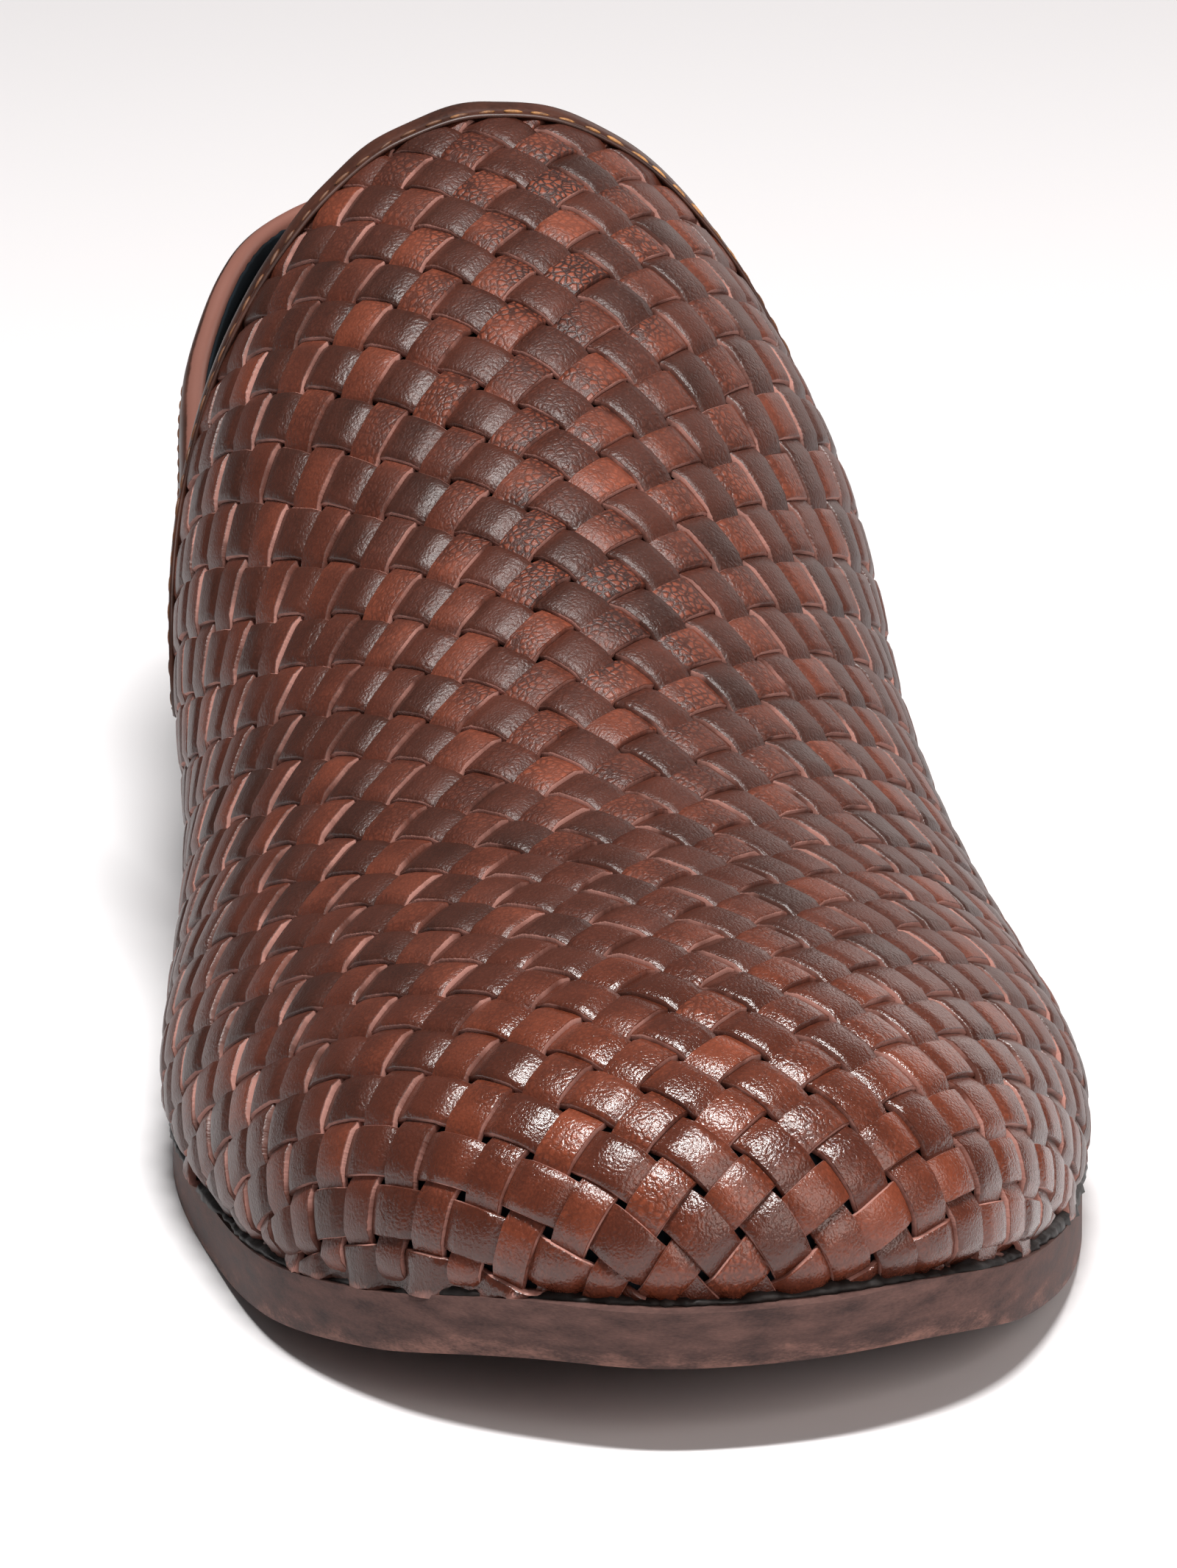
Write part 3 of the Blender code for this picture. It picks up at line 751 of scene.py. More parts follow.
@dataclass(frozen=True)
class Finish:
    """A surface finish. Each kind lists its own nodes and what they feed."""

    name: str

    def material(self) -> bpy.types.Material:
        """Builds the finish's material."""
        material = bpy.data.materials.new(self.name)
        material.use_nodes = True
        tree = material.node_tree
        made: Sockets = {}
        for row in self.rows():
            made[row.name] = add_node(tree, row, made)
        fill_inputs(tree, tree.nodes["Principled BSDF"], self.shader(), made)
        return material

    def rows(self) -> list[NodeRow]:
        """Lists the finish's nodes, each after those that it reads."""
        raise NotImplementedError

    def shader(self) -> dict[str | int, Any]:
        """Gives what each of the shader's inputs takes."""
        raise NotImplementedError


@dataclass(frozen=True)
class GlazedStripLeather(Finish):
    """Vegetable tanned calf, hand glazed, cut into strips with raw pinkish edges.

    Brushed wax at the toe gives broken white highlights, and the rest stays satin. The grain
    cracks into cells of about a millimetre where the leather is stretched, and each strip takes
    the dye a little differently.
    """

    dark: str = "#331A12"
    middle: str = "#53281B"
    light: str = "#8C462E"
    valley: str = "#2C110A"
    raw_edge: str = "#AE7E73"
    crackle_mm: float = 0.80
    crackle_warp_mm: float = 1.6
    crackle_wander: float = 0.6 * MM
    crackle_patch_mm: float = 11.0
    grain_mm: float = 0.30
    cloud_mm: float = 7.0
    glaze: tuple[float, float] = (0.05, 0.50)
    glaze_roughness: float = 0.13
    relief: float = 0.16 * MM

    def rows(self) -> list[NodeRow]:
        """Lists dye clouds, crackled grain and raw edges, laid out along each strip."""
        stops = [(0.15, self.dark), (0.52, self.middle), (0.95, self.light)]
        crackle = {"Vector": "shift", "Scale": per_metre(self.crackle_mm)}
        wander = (self.crackle_wander,) * 3
        height = {"Height": "relief", "Strength": 0.6, "Distance": self.relief}
        cut_or_skin = {0: "cut", 6: "skin", 7: self.raw_edge}
        stored = ("tone", "raw_edge", "flexed", "polished")
        rows = [NodeRow("cloth", "Attribute", "Vector", {"attribute_name": "cloth"}, {})]
        rows += [NodeRow(name, "Attribute", "Fac", {"attribute_name": name}, {}) for name in stored]
        for name, output, size, detail in (
            ("cloud", "Fac", self.cloud_mm, 4.0),
            ("grain", "Fac", self.grain_mm, 3.0),
            ("warp", "Color", self.crackle_warp_mm, 2.0),
            ("patch", "Fac", self.crackle_patch_mm, 2.0),
        ):
            spots = {"Vector": "cloth", "Scale": per_metre(size), "Detail": detail}
            rows.append(NodeRow(name, "TexNoise", output, {}, spots))
        rows += [
            NodeRow("shift", "VectorMath", "Vector", TIMES_PLUS, ("warp", wander, "cloth")),
            NodeRow("cell", "TexVoronoi", "Distance", {"feature": "DISTANCE_TO_EDGE"}, crackle),
            NodeRow("furrow", "MapRange", "Result", SOFTLY, ("cell", 0.03, 0.30, 1.0, 0.0)),
            NodeRow("patchy", "MapRange", "Result", SOFTLY, ("patch", 0.36, 0.60, 0.35, 1.0)),
            NodeRow("bent", "MapRange", "Result", {}, ("flexed", 0.0, 1.0, 0.32, 1.35)),
            NodeRow("cracked", "Math", "Value", TIMES, ("patchy", "bent")),
            NodeRow("furrows", "Math", "Value", TIMES, ("furrow", "cracked")),
            NodeRow("depth", "Math", "Value", TIMES, ("furrows", 0.75)),
            NodeRow("shade", "Math", "Value", TIMES_PLUS, ("cloud", 0.55, "tone")),
            NodeRow("warmed", "Math", "Value", TIMES_PLUS, ("flexed", 0.24, "shade")),
            NodeRow("speckle", "Math", "Value", TIMES_PLUS, ("grain", 0.30, "warmed")),
            NodeRow("dye", "ValToRGB", "Color", {"stops": stops}, {"Fac": "speckle"}),
            NodeRow("skin", "Mix", MIXED_COLOUR, COLOURS, {0: "depth", 6: "dye", 7: self.valley}),
            NodeRow("fray", "Math", "Value", CLAMPED_PLUS, ("grain", 0.9, -0.45)),
            NodeRow("frayed", "Math", "Value", CLAMPED_SUM, ("raw_edge", "fray")),
            NodeRow("sliced", "MapRange", "Result", SOFTLY, ("frayed", 0.45, 0.85, 0.0, 1.0)),
            NodeRow("bare", "MapRange", "Result", {}, ("cloud", 0.42, 0.60, 0.12, 1.0)),
            NodeRow("cut", "Math", "Value", TIMES, ("sliced", "bare")),
            NodeRow("colour", "Mix", MIXED_COLOUR, COLOURS, cut_or_skin),
            NodeRow("satin", "MapRange", "Result", {}, ("cloud", 0.3, 0.7, 0.35, 0.48)),
            NodeRow("dulled", "Math", "Value", TIMES_PLUS, ("flexed", 0.08, "satin")),
            NodeRow("brushed", "Math", "Value", TIMES_PLUS, ("polished", -0.20, "dulled")),
            NodeRow("roughness", "Mix", 0, NUMBERS, {0: "cut", 2: "brushed", 3: 0.85}),
            NodeRow("wax", "MapRange", "Result", {}, ("polished", 0.0, 1.0, *self.glaze)),
            NodeRow("relief", "Math", "Value", TIMES_PLUS, ("depth", -0.70, "grain")),
            NodeRow("bump", "Bump", "Normal", {}, height),
        ]
        return rows

    def shader(self) -> dict[str | int, Any]:
        """Gives the leather's colour, sheen and wax."""
        return {
            "Base Color": "colour",
            "Roughness": "roughness",
            "Normal": "bump",
            "Coat Normal": "bump",
            "IOR": 1.5,
            "Specular IOR Level": 0.42,
            "Coat Weight": "wax",
            "Coat Roughness": self.glaze_roughness,
        }


@dataclass(frozen=True)
class PlainLeather(Finish):
    """Plain leather with pores, dye clouds, and scuffs where it rubs.

    Smooth or matte by its roughness. A point attribute, where the piece has one, brings the lighter
    colour through: real wear on the sole and binding, a painted highlight on the stitches.
    """

    dark: str
    light: str
    worn: str
    pore_mm: float
    cloud_mm: float = 9.0
    stretch: tuple[float, float, float] = (1.0, 1.0, 1.0)
    roughness: tuple[float, float] = (0.42, 0.6)
    relief_mm: float = 0.08
    specular: float = 0.45

    def rows(self) -> list[NodeRow]:
        """Lists pores, clouds, and places of wear and of painted highlight, on Object coordinates.
        """
        stops = [(0.45, self.dark), (0.95, self.light)]
        stretched = {"Vector": "place", "Scale": self.stretch}
        clouds = {"Vector": "stretched", "Scale": per_metre(self.cloud_mm), "Detail": 5.0}
        pores = {"Vector": "stretched", "Scale": per_metre(self.pore_mm), "Detail": 3.0}
        height = {"Height": "mottled", "Strength": 0.5, "Distance": self.relief_mm * MM}
        return [
            NodeRow("place", "TexCoord", "Object", {}, {}),
            NodeRow("stretched", "Mapping", "Vector", {}, stretched),
            NodeRow("cloud", "TexNoise", "Fac", {}, clouds),
            NodeRow("pores", "TexNoise", "Fac", {}, pores),
            NodeRow("mottled", "Math", "Value", TIMES_PLUS, ("pores", 0.4, "cloud")),
            NodeRow("dye", "ValToRGB", "Color", {"stops": stops}, {"Fac": "mottled"}),
            # Mask of the lighter colour: real wear on the sole and binding, painted highlight on
            # the stitches.
            NodeRow("worn", "Attribute", "Fac", {"attribute_name": "worn"}, {}),
            NodeRow("rubbed_and_lit", "Math", "Value", TIMES_PLUS, ("mottled", 0.8, "worn")),
            NodeRow("scuff_and_highlight", "MapRange", "Result", SOFTLY, ("rubbed_and_lit", 0.95, 1.35, 0.0, 1.0)),
            NodeRow("colour", "Mix", MIXED_COLOUR, COLOURS, {0: "scuff_and_highlight", 6: "dye", 7: self.worn}),
            NodeRow("gloss", "MapRange", "Result", {}, ("mottled", 0.4, 1.0, *self.roughness)),
            NodeRow("bump", "Bump", "Normal", {}, height),
        ]

    def shader(self) -> dict[str | int, Any]:
        """Gives the leather's colour and its low sheen."""
        return {
            "Base Color": "colour",
            "Roughness": "gloss",
            "Normal": "bump",
            "Specular IOR Level": self.specular,
        }


@dataclass(frozen=True)
class Paper(Finish):
    """Matte seamless studio paper, with the faintest tooth."""

    colour: str = "#E4E4E6"
    tooth_mm: float = 3.0

    def rows(self) -> list[NodeRow]:
        """Lists the paper's tooth."""
        tooth = {"Vector": "place", "Scale": per_metre(self.tooth_mm)}
        height = {"Height": "tooth", "Strength": 0.05, "Distance": 0.0001}
        return [
            NodeRow("place", "TexCoord", "Object", {}, {}),
            NodeRow("tooth", "TexNoise", "Fac", {}, tooth),
            NodeRow("bump", "Bump", "Normal", {}, height),
        ]

    def shader(self) -> dict[str | int, Any]:
        """Gives an even matte colour."""
        return {
            "Base Color": self.colour,
            "Roughness": 0.95,
            "Normal": "bump",
            "Specular IOR Level": 0.1,
        }


class Finishes:
    """The shoe's finishes, each made once."""

    def __init__(self) -> None:
        """Builds every material."""
        self.strips = GlazedStripLeather("glazed strip leather").material()
        self.binding = PlainLeather(
            "smooth binding leather",
            *("#20100B", "#4E2A1D", "#7E5449"),
            pore_mm=0.5,
            roughness=(0.36, 0.5),
            relief_mm=0.05,
        ).material()
        self.lining = PlainLeather(
            "black suede lining",
            *("#080D11", "#141E25", "#222B31"),
            pore_mm=0.35,
            roughness=(0.8, 0.95),
            relief_mm=0.12,
            specular=0.15,
        ).material()
        self.footbed = PlainLeather(
            "black footbed leather",
            *("#08090B", "#131619", "#1E2126"),
            pore_mm=0.7,
            roughness=(0.5, 0.7),
            specular=0.2,
        ).material()
        self.sole = PlainLeather(
            "dyed sole leather",
            *("#352523", "#664B45", "#8A655A"),
            pore_mm=0.5,
            cloud_mm=5.0,
            stretch=(1.0, 1.0, 3.5),
            roughness=(0.6, 0.8),
            relief_mm=0.14,
            specular=0.3,
        ).material()
        self.lift = PlainLeather(
            "stacked lift leather",
            *("#2B1C19", "#54392F", "#8F6A4E"),
            pore_mm=0.6,
            stretch=(1.0, 1.0, 6.0),
            roughness=(0.6, 0.8),
            specular=0.3,
        ).material()
        # The third colour is the painted highlight on the stitches high on the outer throat.
        self.thread = PlainLeather(
            "waxed tan thread",
            *("#43281A", "#7C5030", "#C08A50"),
            pore_mm=0.25,
            cloud_mm=3.0,
            roughness=(0.5, 0.65),
        ).material()
        self.glue = PlainLeather(
            "dried black cement",
            *("#070504", "#1C1310", "#4A332B"),
            pore_mm=0.8,
            cloud_mm=2.5,
            roughness=(0.4, 0.7),
            relief_mm=0.3,
        ).material()
        self.paper = Paper("studio paper").material()


def deselect_all() -> None:
    """Leaves object mode clear, with nothing selected."""
    if bpy.context.mode != "OBJECT":
        bpy.ops.object.mode_set(mode="OBJECT")
    bpy.ops.object.select_all(action="DESELECT")


def apply_modifiers(piece: bpy.types.Object) -> None:
    """Applies a piece's modifiers in order."""
    deselect_all()
    piece.select_set(True)
    bpy.context.view_layer.objects.active = piece
    for name in [modifier.name for modifier in piece.modifiers]:
        bpy.ops.object.modifier_apply(modifier=name)
    piece.select_set(False)


def mesh_piece(name: str, verts: Array, faces: list[tuple[int, ...]]) -> bpy.types.Object:
    """Makes a piece from arrays, where no primitive comes near its shape.

    Args:
        name: The piece's name.
        verts: Its points.
        faces: Its faces.

    Returns:
        The piece, at the origin.
    """
    mesh = bpy.data.meshes.new(name)
    mesh.from_pydata(verts.tolist(), [], faces)
    mesh.shade_smooth()
    piece = bpy.data.objects.new(name, mesh)
    bpy.context.collection.objects.link(piece)
    return piece


def set_attribute(piece: bpy.types.Object, name: str, kind: str, values: Array) -> None:
    """Stores values on a piece's points.

    Args:
        piece: The piece.
        name: The attribute's name.
        kind: FLOAT or FLOAT_VECTOR.
        values: One value or vector for each point.
    """
    attribute = piece.data.attributes.new(name, kind, "POINT")
    key = "value" if kind == "FLOAT" else "vector"
    attribute.data.foreach_set(key, np.ascontiguousarray(values, np.float32).ravel())


def points_of(piece: bpy.types.Object) -> Array:
    """Reads a piece's points."""
    flat = np.zeros(len(piece.data.vertices) * 3)
    piece.data.vertices.foreach_get("co", flat)
    return flat.reshape(-1, 3)


def move_points(piece: bpy.types.Object, points: Array) -> None:
    """Puts a piece's points where they belong."""
    piece.data.vertices.foreach_set("co", points.ravel())
    piece.data.update()


def tube_faces(rings: int, around: int) -> list[tuple[int, ...]]:
    """Joins closed sections into a closed ring of faces.

    Args:
        rings: Number of sections along the tube.
        around: Points in each section.

    Returns:
        The faces, for points stored section by section.
    """
    faces = []
    for i in range(rings):
        j = (i + 1) % rings
        for k in range(around):
            m = (k + 1) % around
            faces.append((i * around + k, i * around + m, j * around + m, j * around + k))
    return faces


def finish_piece(piece: bpy.types.Object, material: bpy.types.Material) -> None:
    """Dresses a piece and lets it ride on the shoe.

    Args:
        piece: The piece.
        material: Its finish.
    """
    piece.data.materials.clear()
    piece.data.materials.append(material)
    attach(piece, "root")
    piece.data.calc_loop_triangles()
    LOG.info("%s: %d triangles", piece.name, len(piece.data.loop_triangles))


class Family(Enum):
    """The two families of strips, by the way they run on the top of the foot."""

    TO_INNER_HEEL = 1
    TO_OUTER_HEEL = -1


@dataclass
class WovenUpper:
    """Interlaced leather strips over a black lining."""

    pattern: FlatPattern
    finishes: Finishes
    steps: int = 6
    loose_share: tuple[float, float] = (0.86, 0.76)
    tight_share: tuple[float, float] = (0.88, 0.80)
    tight_heights: tuple[float, float] = (14 * MM, 50 * MM)
    flexed_share: tuple[float, float] = (0.35, 1.0)
    thickness: float = 1.0 * MM
    wave: float = 0.44 * MM
    middle: float = 0.06 * MM
    tuck: float = 0.95 * MM
    tuck_height: float = 2.6 * MM
    curl: float = 1.35 * MM
    curl_height: float = 2.0 * MM
    curled_at_toe: float = 0.26
    curled_elsewhere: float = 0.12
    toe_end: float = -0.095
    margin: float = 2.0 * MM
    wave_flatness: float = 2.8
    lining_depth: tuple[float, float] = (0.90 * MM, 1.40 * MM)
    lining_grid: float = 3.2 * MM
    seed: int = 7
    wander: float = 0.020
    width_spread: float = 0.018
    curl_rise: float = 0.9
    lip_heights: tuple[float, float] = (-0.2 * MM, 0.6 * MM)
    pillow: float = 0.06 * MM
    height_spread: float = 0.03 * MM
    sharp_angle: float = 48.0
    strip_tone_spread: float = 0.035
    cell_tone_spread: float = 0.055
    family_tone: tuple[float, float] = (-0.13, 0.06)
    # Painted highlight: how much lighter the front of the toe is painted, and how far its two
    # families are evened out there.
    toe_painted_highlight: float = 0.14
    toe_evens_out: float = 0.6
    section: tuple[tuple[float, float, float], ...] = (
        (-1.0, -0.40, 1.0),
        (-1.0, 0.22, 1.0),
        (-0.95, 0.40, 0.25),
        (-0.62, 0.49, 0.0),
        (0.0, 0.51, 0.0),
        (0.62, 0.49, 0.0),
        (0.95, 0.40, 0.25),
        (1.0, 0.22, 1.0),
        (1.0, -0.40, 1.0),
        (0.0, -0.44, 0.0),
    )

    def build(self) -> None:
        """Builds both families of strips and the lining behind them."""
        for family in Family:
            piece = self.family_piece(family)
            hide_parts("woven_upper")
            finish_piece(piece, self.finishes.strips)
        finish_piece(self.lining(), self.finishes.lining)

    def family_piece(self, family: Family) -> bpy.types.Object:
        """Weaves one family of strips.

        Args:
            family: Which of the two.

        Returns:
            All its strips as one piece.
        """
        pattern, cell, steps = self.pattern, self.pattern.cell, self.steps
        outline = pattern.outline(12, self.margin)
        half_turn = pattern.heel_y / cell
        sums = np.concatenate([outline.sum(axis=1), outline[:, 1] - outline[:, 0]]) / cell
        low = floor(sums.min()) - 1
        numbers = np.arange(low, ceil(half_turn))
        numbers = numbers[numbers + 0.5 < half_turn + 0.1]
        folded_on_itself = np.isclose(numbers + 0.5, half_turn)
        run = np.arange(low * steps, ceil(2 * half_turn - low) * steps + 1) / steps
        random = np.random.default_rng(self.seed + family.value)
        wander = random.normal(0, self.wander, (len(numbers), len(run) // steps + 2))
        widths = 1 + random.normal(0, self.width_spread, len(numbers))
        knots = np.arange(wander.shape[1]) * steps
        drift = np.stack([np.interp(np.arange(len(run)), knots, row) for row in wander])
        across = np.array([point[0] for point in self.section])
        middle = self.to_flat(family, numbers[:, None, None] + 0.5, run[None, :, None])
        height = pattern.surface(middle.reshape(-1, 2))[1].reshape(middle.shape[:2])
        tight = ease(*self.tight_heights, height)
        which = int(family is Family.TO_OUTER_HEEL)
        loose = self.loose_share[which]
        half = (loose + (self.tight_share[which] - loose) * tight) / 2
        half = half * widths[:, None]
        offset = across[None, None, :] * half[..., None] + drift[..., None]
        fixed = numbers[:, None, None] + 0.5 + offset * family.value
        flat = self.to_flat(family, fixed, run[None, :, None])
        shape = flat.shape[:3]
        folded = pattern.folded(flat.reshape(-1, 2))
        within = inside(outline, folded).reshape(shape)
        kept = within.any(axis=2)
        kept[:, 1:] |= within.any(axis=2)[:, :-1]
        kept[:, :-1] |= within.any(axis=2)[:, 1:]
        kept[np.ix_(folded_on_itself, run > half_turn)] = False
        strip, ring = np.nonzero(kept)
        points = folded.reshape(*shape, 2)[strip, ring]
        stray = ~within[strip, ring]
        points[stray] = snap_to(outline, points[stray])
        around = len(self.section)
        place, normal, above = pattern.skin(points.reshape(-1, 2))
        above = above.reshape(-1, around)
        lift = self.lift(family, numbers[strip], run[ring], above, random)
        curled = self.curled(strip, ring, place[::around, 1], len(run), random)
        lift += curled[:, None] * self.curl * (1 - ease(0.0, self.curl_height, above))
        verts = place + normal * lift.reshape(-1)[:, None]
        verts[:, 2] += (curled[:, None] * np.maximum(-above, 0) * self.curl_rise).ravel()
        faces = self.strip_faces(strip, ring, around)
        piece = mesh_piece(f"strips_{family.name.lower()}", verts, faces)
        # The glossy toe, which is also painted lighter: a painted highlight.
        polished = self.polished(place)
        self.paint(
            piece, family, numbers[strip], run[ring], offset[strip, ring], polished, random
        )
        edge = np.tile([point[2] for point in self.section], len(strip))
        lip = curled[:, None] * (1 - ease(*self.lip_heights, above))
        set_attribute(piece, "raw_edge", "FLOAT", np.maximum(edge, lip.ravel()))
        flexed = self.flexed(points.reshape(-1, 2)) * self.flexed_share[which]
        set_attribute(piece, "flexed", "FLOAT", flexed)
        set_attribute(piece, "polished", "FLOAT", polished)
        piece.data.set_sharp_from_angle(angle=radians(self.sharp_angle))
        return piece

    def to_flat(self, family: Family, fixed: Array, moving: Array) -> Array:
        """Finds flat points from lattice places.

        Args:
            family: Which family.
            fixed: Place across the family, in cells.
            moving: Place along the strip, in cells.

        Returns:
            The flat points.
        """
        fixed, moving = np.broadcast_arrays(fixed, moving)
        first, second = (fixed, moving) if family is Family.TO_INNER_HEEL else (moving, fixed)
        half_cell = self.pattern.cell / 2
        return np.stack([(first - second) * half_cell, (first + second) * half_cell], -1)

    def curled(
        self,
        strip: Array,
        ring: Array,
        y: Array,
        count: int,
        random: np.random.Generator,
    ) -> Array:
        """Chooses the strip ends that curl out over the sole instead of tucking under.

        Args:
            strip: The strip that each section belongs to.
            ring: Its place on that strip.
            y: How far back on the shoe the section lies.
            count: Number of places along a strip.
            random: The family's random numbers.

        Returns:
            1 for each section on a curled half strip, otherwise 0.
        """
        chance = random.uniform(0, 1, (strip.max() + 1, 2))
        half = (ring > count // 2).astype(int)
        limit = np.where(y < self.toe_end, self.curled_at_toe, self.curled_elsewhere)
        return (chance[strip, half] < limit).astype(float)

    @staticmethod
    def flexed(flat: Array) -> Array:
        """Tells where walking has cracked and warmed the leather: along the top of the foot.

        Args:
            flat: Flat points.

        Returns:
            0 to 1 for each point.
        """
        across = np.exp(-((flat[:, 0] - 2 * MM) / (21 * MM)) ** 2)
        behind_toe = ease(0.012, 0.075, flat[:, 1])
        return across * (0.30 + 0.70 * behind_toe)

    @staticmethod
    def polished(place: Array) -> Array:
        """Tells where the toe is glossy from brushed wax and painted lighter: a painted highlight.

        Args:
            place: Points of the strips.

        Returns:
            0 to 1 for each point.
        """
        front = 1 - ease(-0.122, -0.084, place[:, 1])
        return front * ease(-0.040, -0.020, place[:, 0])

    def lift(
        self,
        family: Family,
        number: Array,
        run: Array,
        above: Array,
        random: np.random.Generator,
    ) -> Array:
        """Works out how far each point of each section stands off the last.

        Args:
            family: Which family.
            number: The strip's number, for each section.
            run: The section's place along its strip, in cells.
            above: Height over the feather line, for each point.
            random: The family's random numbers.

        Returns:
            The lift of each point of each section.
        """
        over = np.sin(np.pi * run) * np.where(number % 2 == 0, 1, -1) * family.value
        flat = self.wave_flatness
        over = np.tanh(flat * over) / np.tanh(flat)
        heights = np.array([point[1] for point in self.section]) * self.thickness
        pillow = np.array([1 - point[0] ** 2 for point in self.section]) * self.pillow
        jitter = random.normal(0, self.height_spread, 4096)
        bump = jitter[(number * 31 + np.floor(run).astype(int) * 17) % len(jitter)]
        middle = self.middle + self.wave * over + bump * np.abs(over)
        free = ease(0.0, self.tuck_height, above)
        lift = middle[:, None] + heights[None, :] + pillow[None, :] * np.maximum(over, 0)[:, None]
        return lift - (1 - free) * self.tuck

    @staticmethod
    def strip_faces(strip: Array, ring: Array, around: int) -> list[tuple[int, ...]]:
        """Joins the sections of each strip and closes its ends.

        Args:
            strip: The strip that each section belongs to.
            ring: Its place on that strip.
            around: Points in each section.

        Returns:
            The faces.
        """
        follows = (strip[1:] == strip[:-1]) & (ring[1:] == ring[:-1] + 1)
        here = np.flatnonzero(follows)
        k = np.arange(around)
        m = (k + 1) % around
        quads = np.stack(
            [
                here[:, None] * around + k,
                here[:, None] * around + m,
                (here[:, None] + 1) * around + m,
                (here[:, None] + 1) * around + k,
            ],
            -1,
        )
        faces = [tuple(q) for q in quads.reshape(-1, 4).tolist()]
        starts = np.concatenate([[True], ~follows])
        ends = np.concatenate([~follows, [True]])
        for i in np.flatnonzero(starts):
            faces.append(tuple(int(i) * around + j for j in reversed(range(around))))
        for i in np.flatnonzero(ends):
            faces.append(tuple(int(i) * around + j for j in range(around)))
        return faces

    def paint(
        self,
        piece: bpy.types.Object,
        family: Family,
        number: Array,
        run: Array,
        offset: Array,
        polished: Array,
        random: np.random.Generator,
    ) -> None:
        """Stores each strip's own coordinates and tone.

        Args:
            piece: The strips.
            family: Which family.
            number: The strip's number, for each section.
            run: The section's place along its strip.
            offset: Place across the strip, for each point.
            polished: 1 where the toe is glossy and painted lighter, for each point.
            random: The family's random numbers.
        """
        cell, around = self.pattern.cell, len(self.section)
        low = number.min()
        seeds = random.uniform(0, 1, number.max() - low + 1)
        own = seeds[number - low]
        along = np.repeat(run * cell / sqrt(2) + own * 3.0, around)
        across = (offset * cell / sqrt(2)).ravel()
        strip_seed = np.repeat(own * 7.0, around)
        set_attribute(
            piece, "cloth", "FLOAT_VECTOR", np.stack([across, along, strip_seed], -1)
        )
        strip_tone = random.normal(0, self.strip_tone_spread, len(seeds))[number - low]
        table = random.normal(0, self.cell_tone_spread, 8192)
        before = np.floor(run - 0.5).astype(int)
        share = ease(0.3, 0.7, run - 0.5 - before)
        first = table[(number * 61 + before * 13) % len(table)]
        second = table[(number * 61 + (before + 1) * 13) % len(table)]
        cell_tone = first * (1 - share) + second * share
        bias = self.family_tone[family is Family.TO_OUTER_HEEL]
        tone = np.repeat(bias + strip_tone + cell_tone, around)
        # Painted highlight: the front of the toe is made lighter and its two families evened out.
        tone += polished * (self.toe_painted_highlight - self.toe_evens_out * bias)
        set_attribute(piece, "tone", "FLOAT", tone)

    def lining(self) -> bpy.types.Object:
        """Cuts the black lining that shows through the gaps and inside the collar."""
        pattern = self.pattern
        outline = pattern.outline(8, 0.0)
        outline = outline[np.linalg.norm(outline - np.roll(outline, 1, axis=0), axis=1) > 1e-7]
        low, high = outline.min(axis=0), outline.max(axis=0)
        step = self.lining_grid
        xs, ys = np.arange(low[0], high[0], step), np.arange(low[1], high[1], step)
        grid = np.stack(np.meshgrid(xs, ys), -1).reshape(-1, 2)
        grid = grid[inside(outline, grid)]
        verts = [Vector(p) for p in np.vstack([outline, grid])]
        ring = list(range(len(outline)))
        found, _, triangles, _, _, owners = delaunay_2d_cdt(verts, [], [ring], 0, 1e-7, True)
        faces = [tuple(t) for t, owner in zip(triangles, owners) if owner]
        flat = np.array([tuple(p) for p in found])
        place, normal, _ = pattern.skin(flat)
        outside = place - normal * self.lining_depth[0]
        within = place - normal * self.lining_depth[1]
        count = len(flat)
        border = {(a, b) for f in faces for a, b in zip(f, f[1:] + f[:1])}
        rim = [(a, b) for a, b in border if (b, a) not in border]
        shell = list(faces)
        shell += [tuple(i + count for i in reversed(f)) for f in faces]
        shell += [(b, a, a + count, b + count) for a, b in rim]
        return mesh_piece("black_lining", np.vstack([outside, within]), shell)


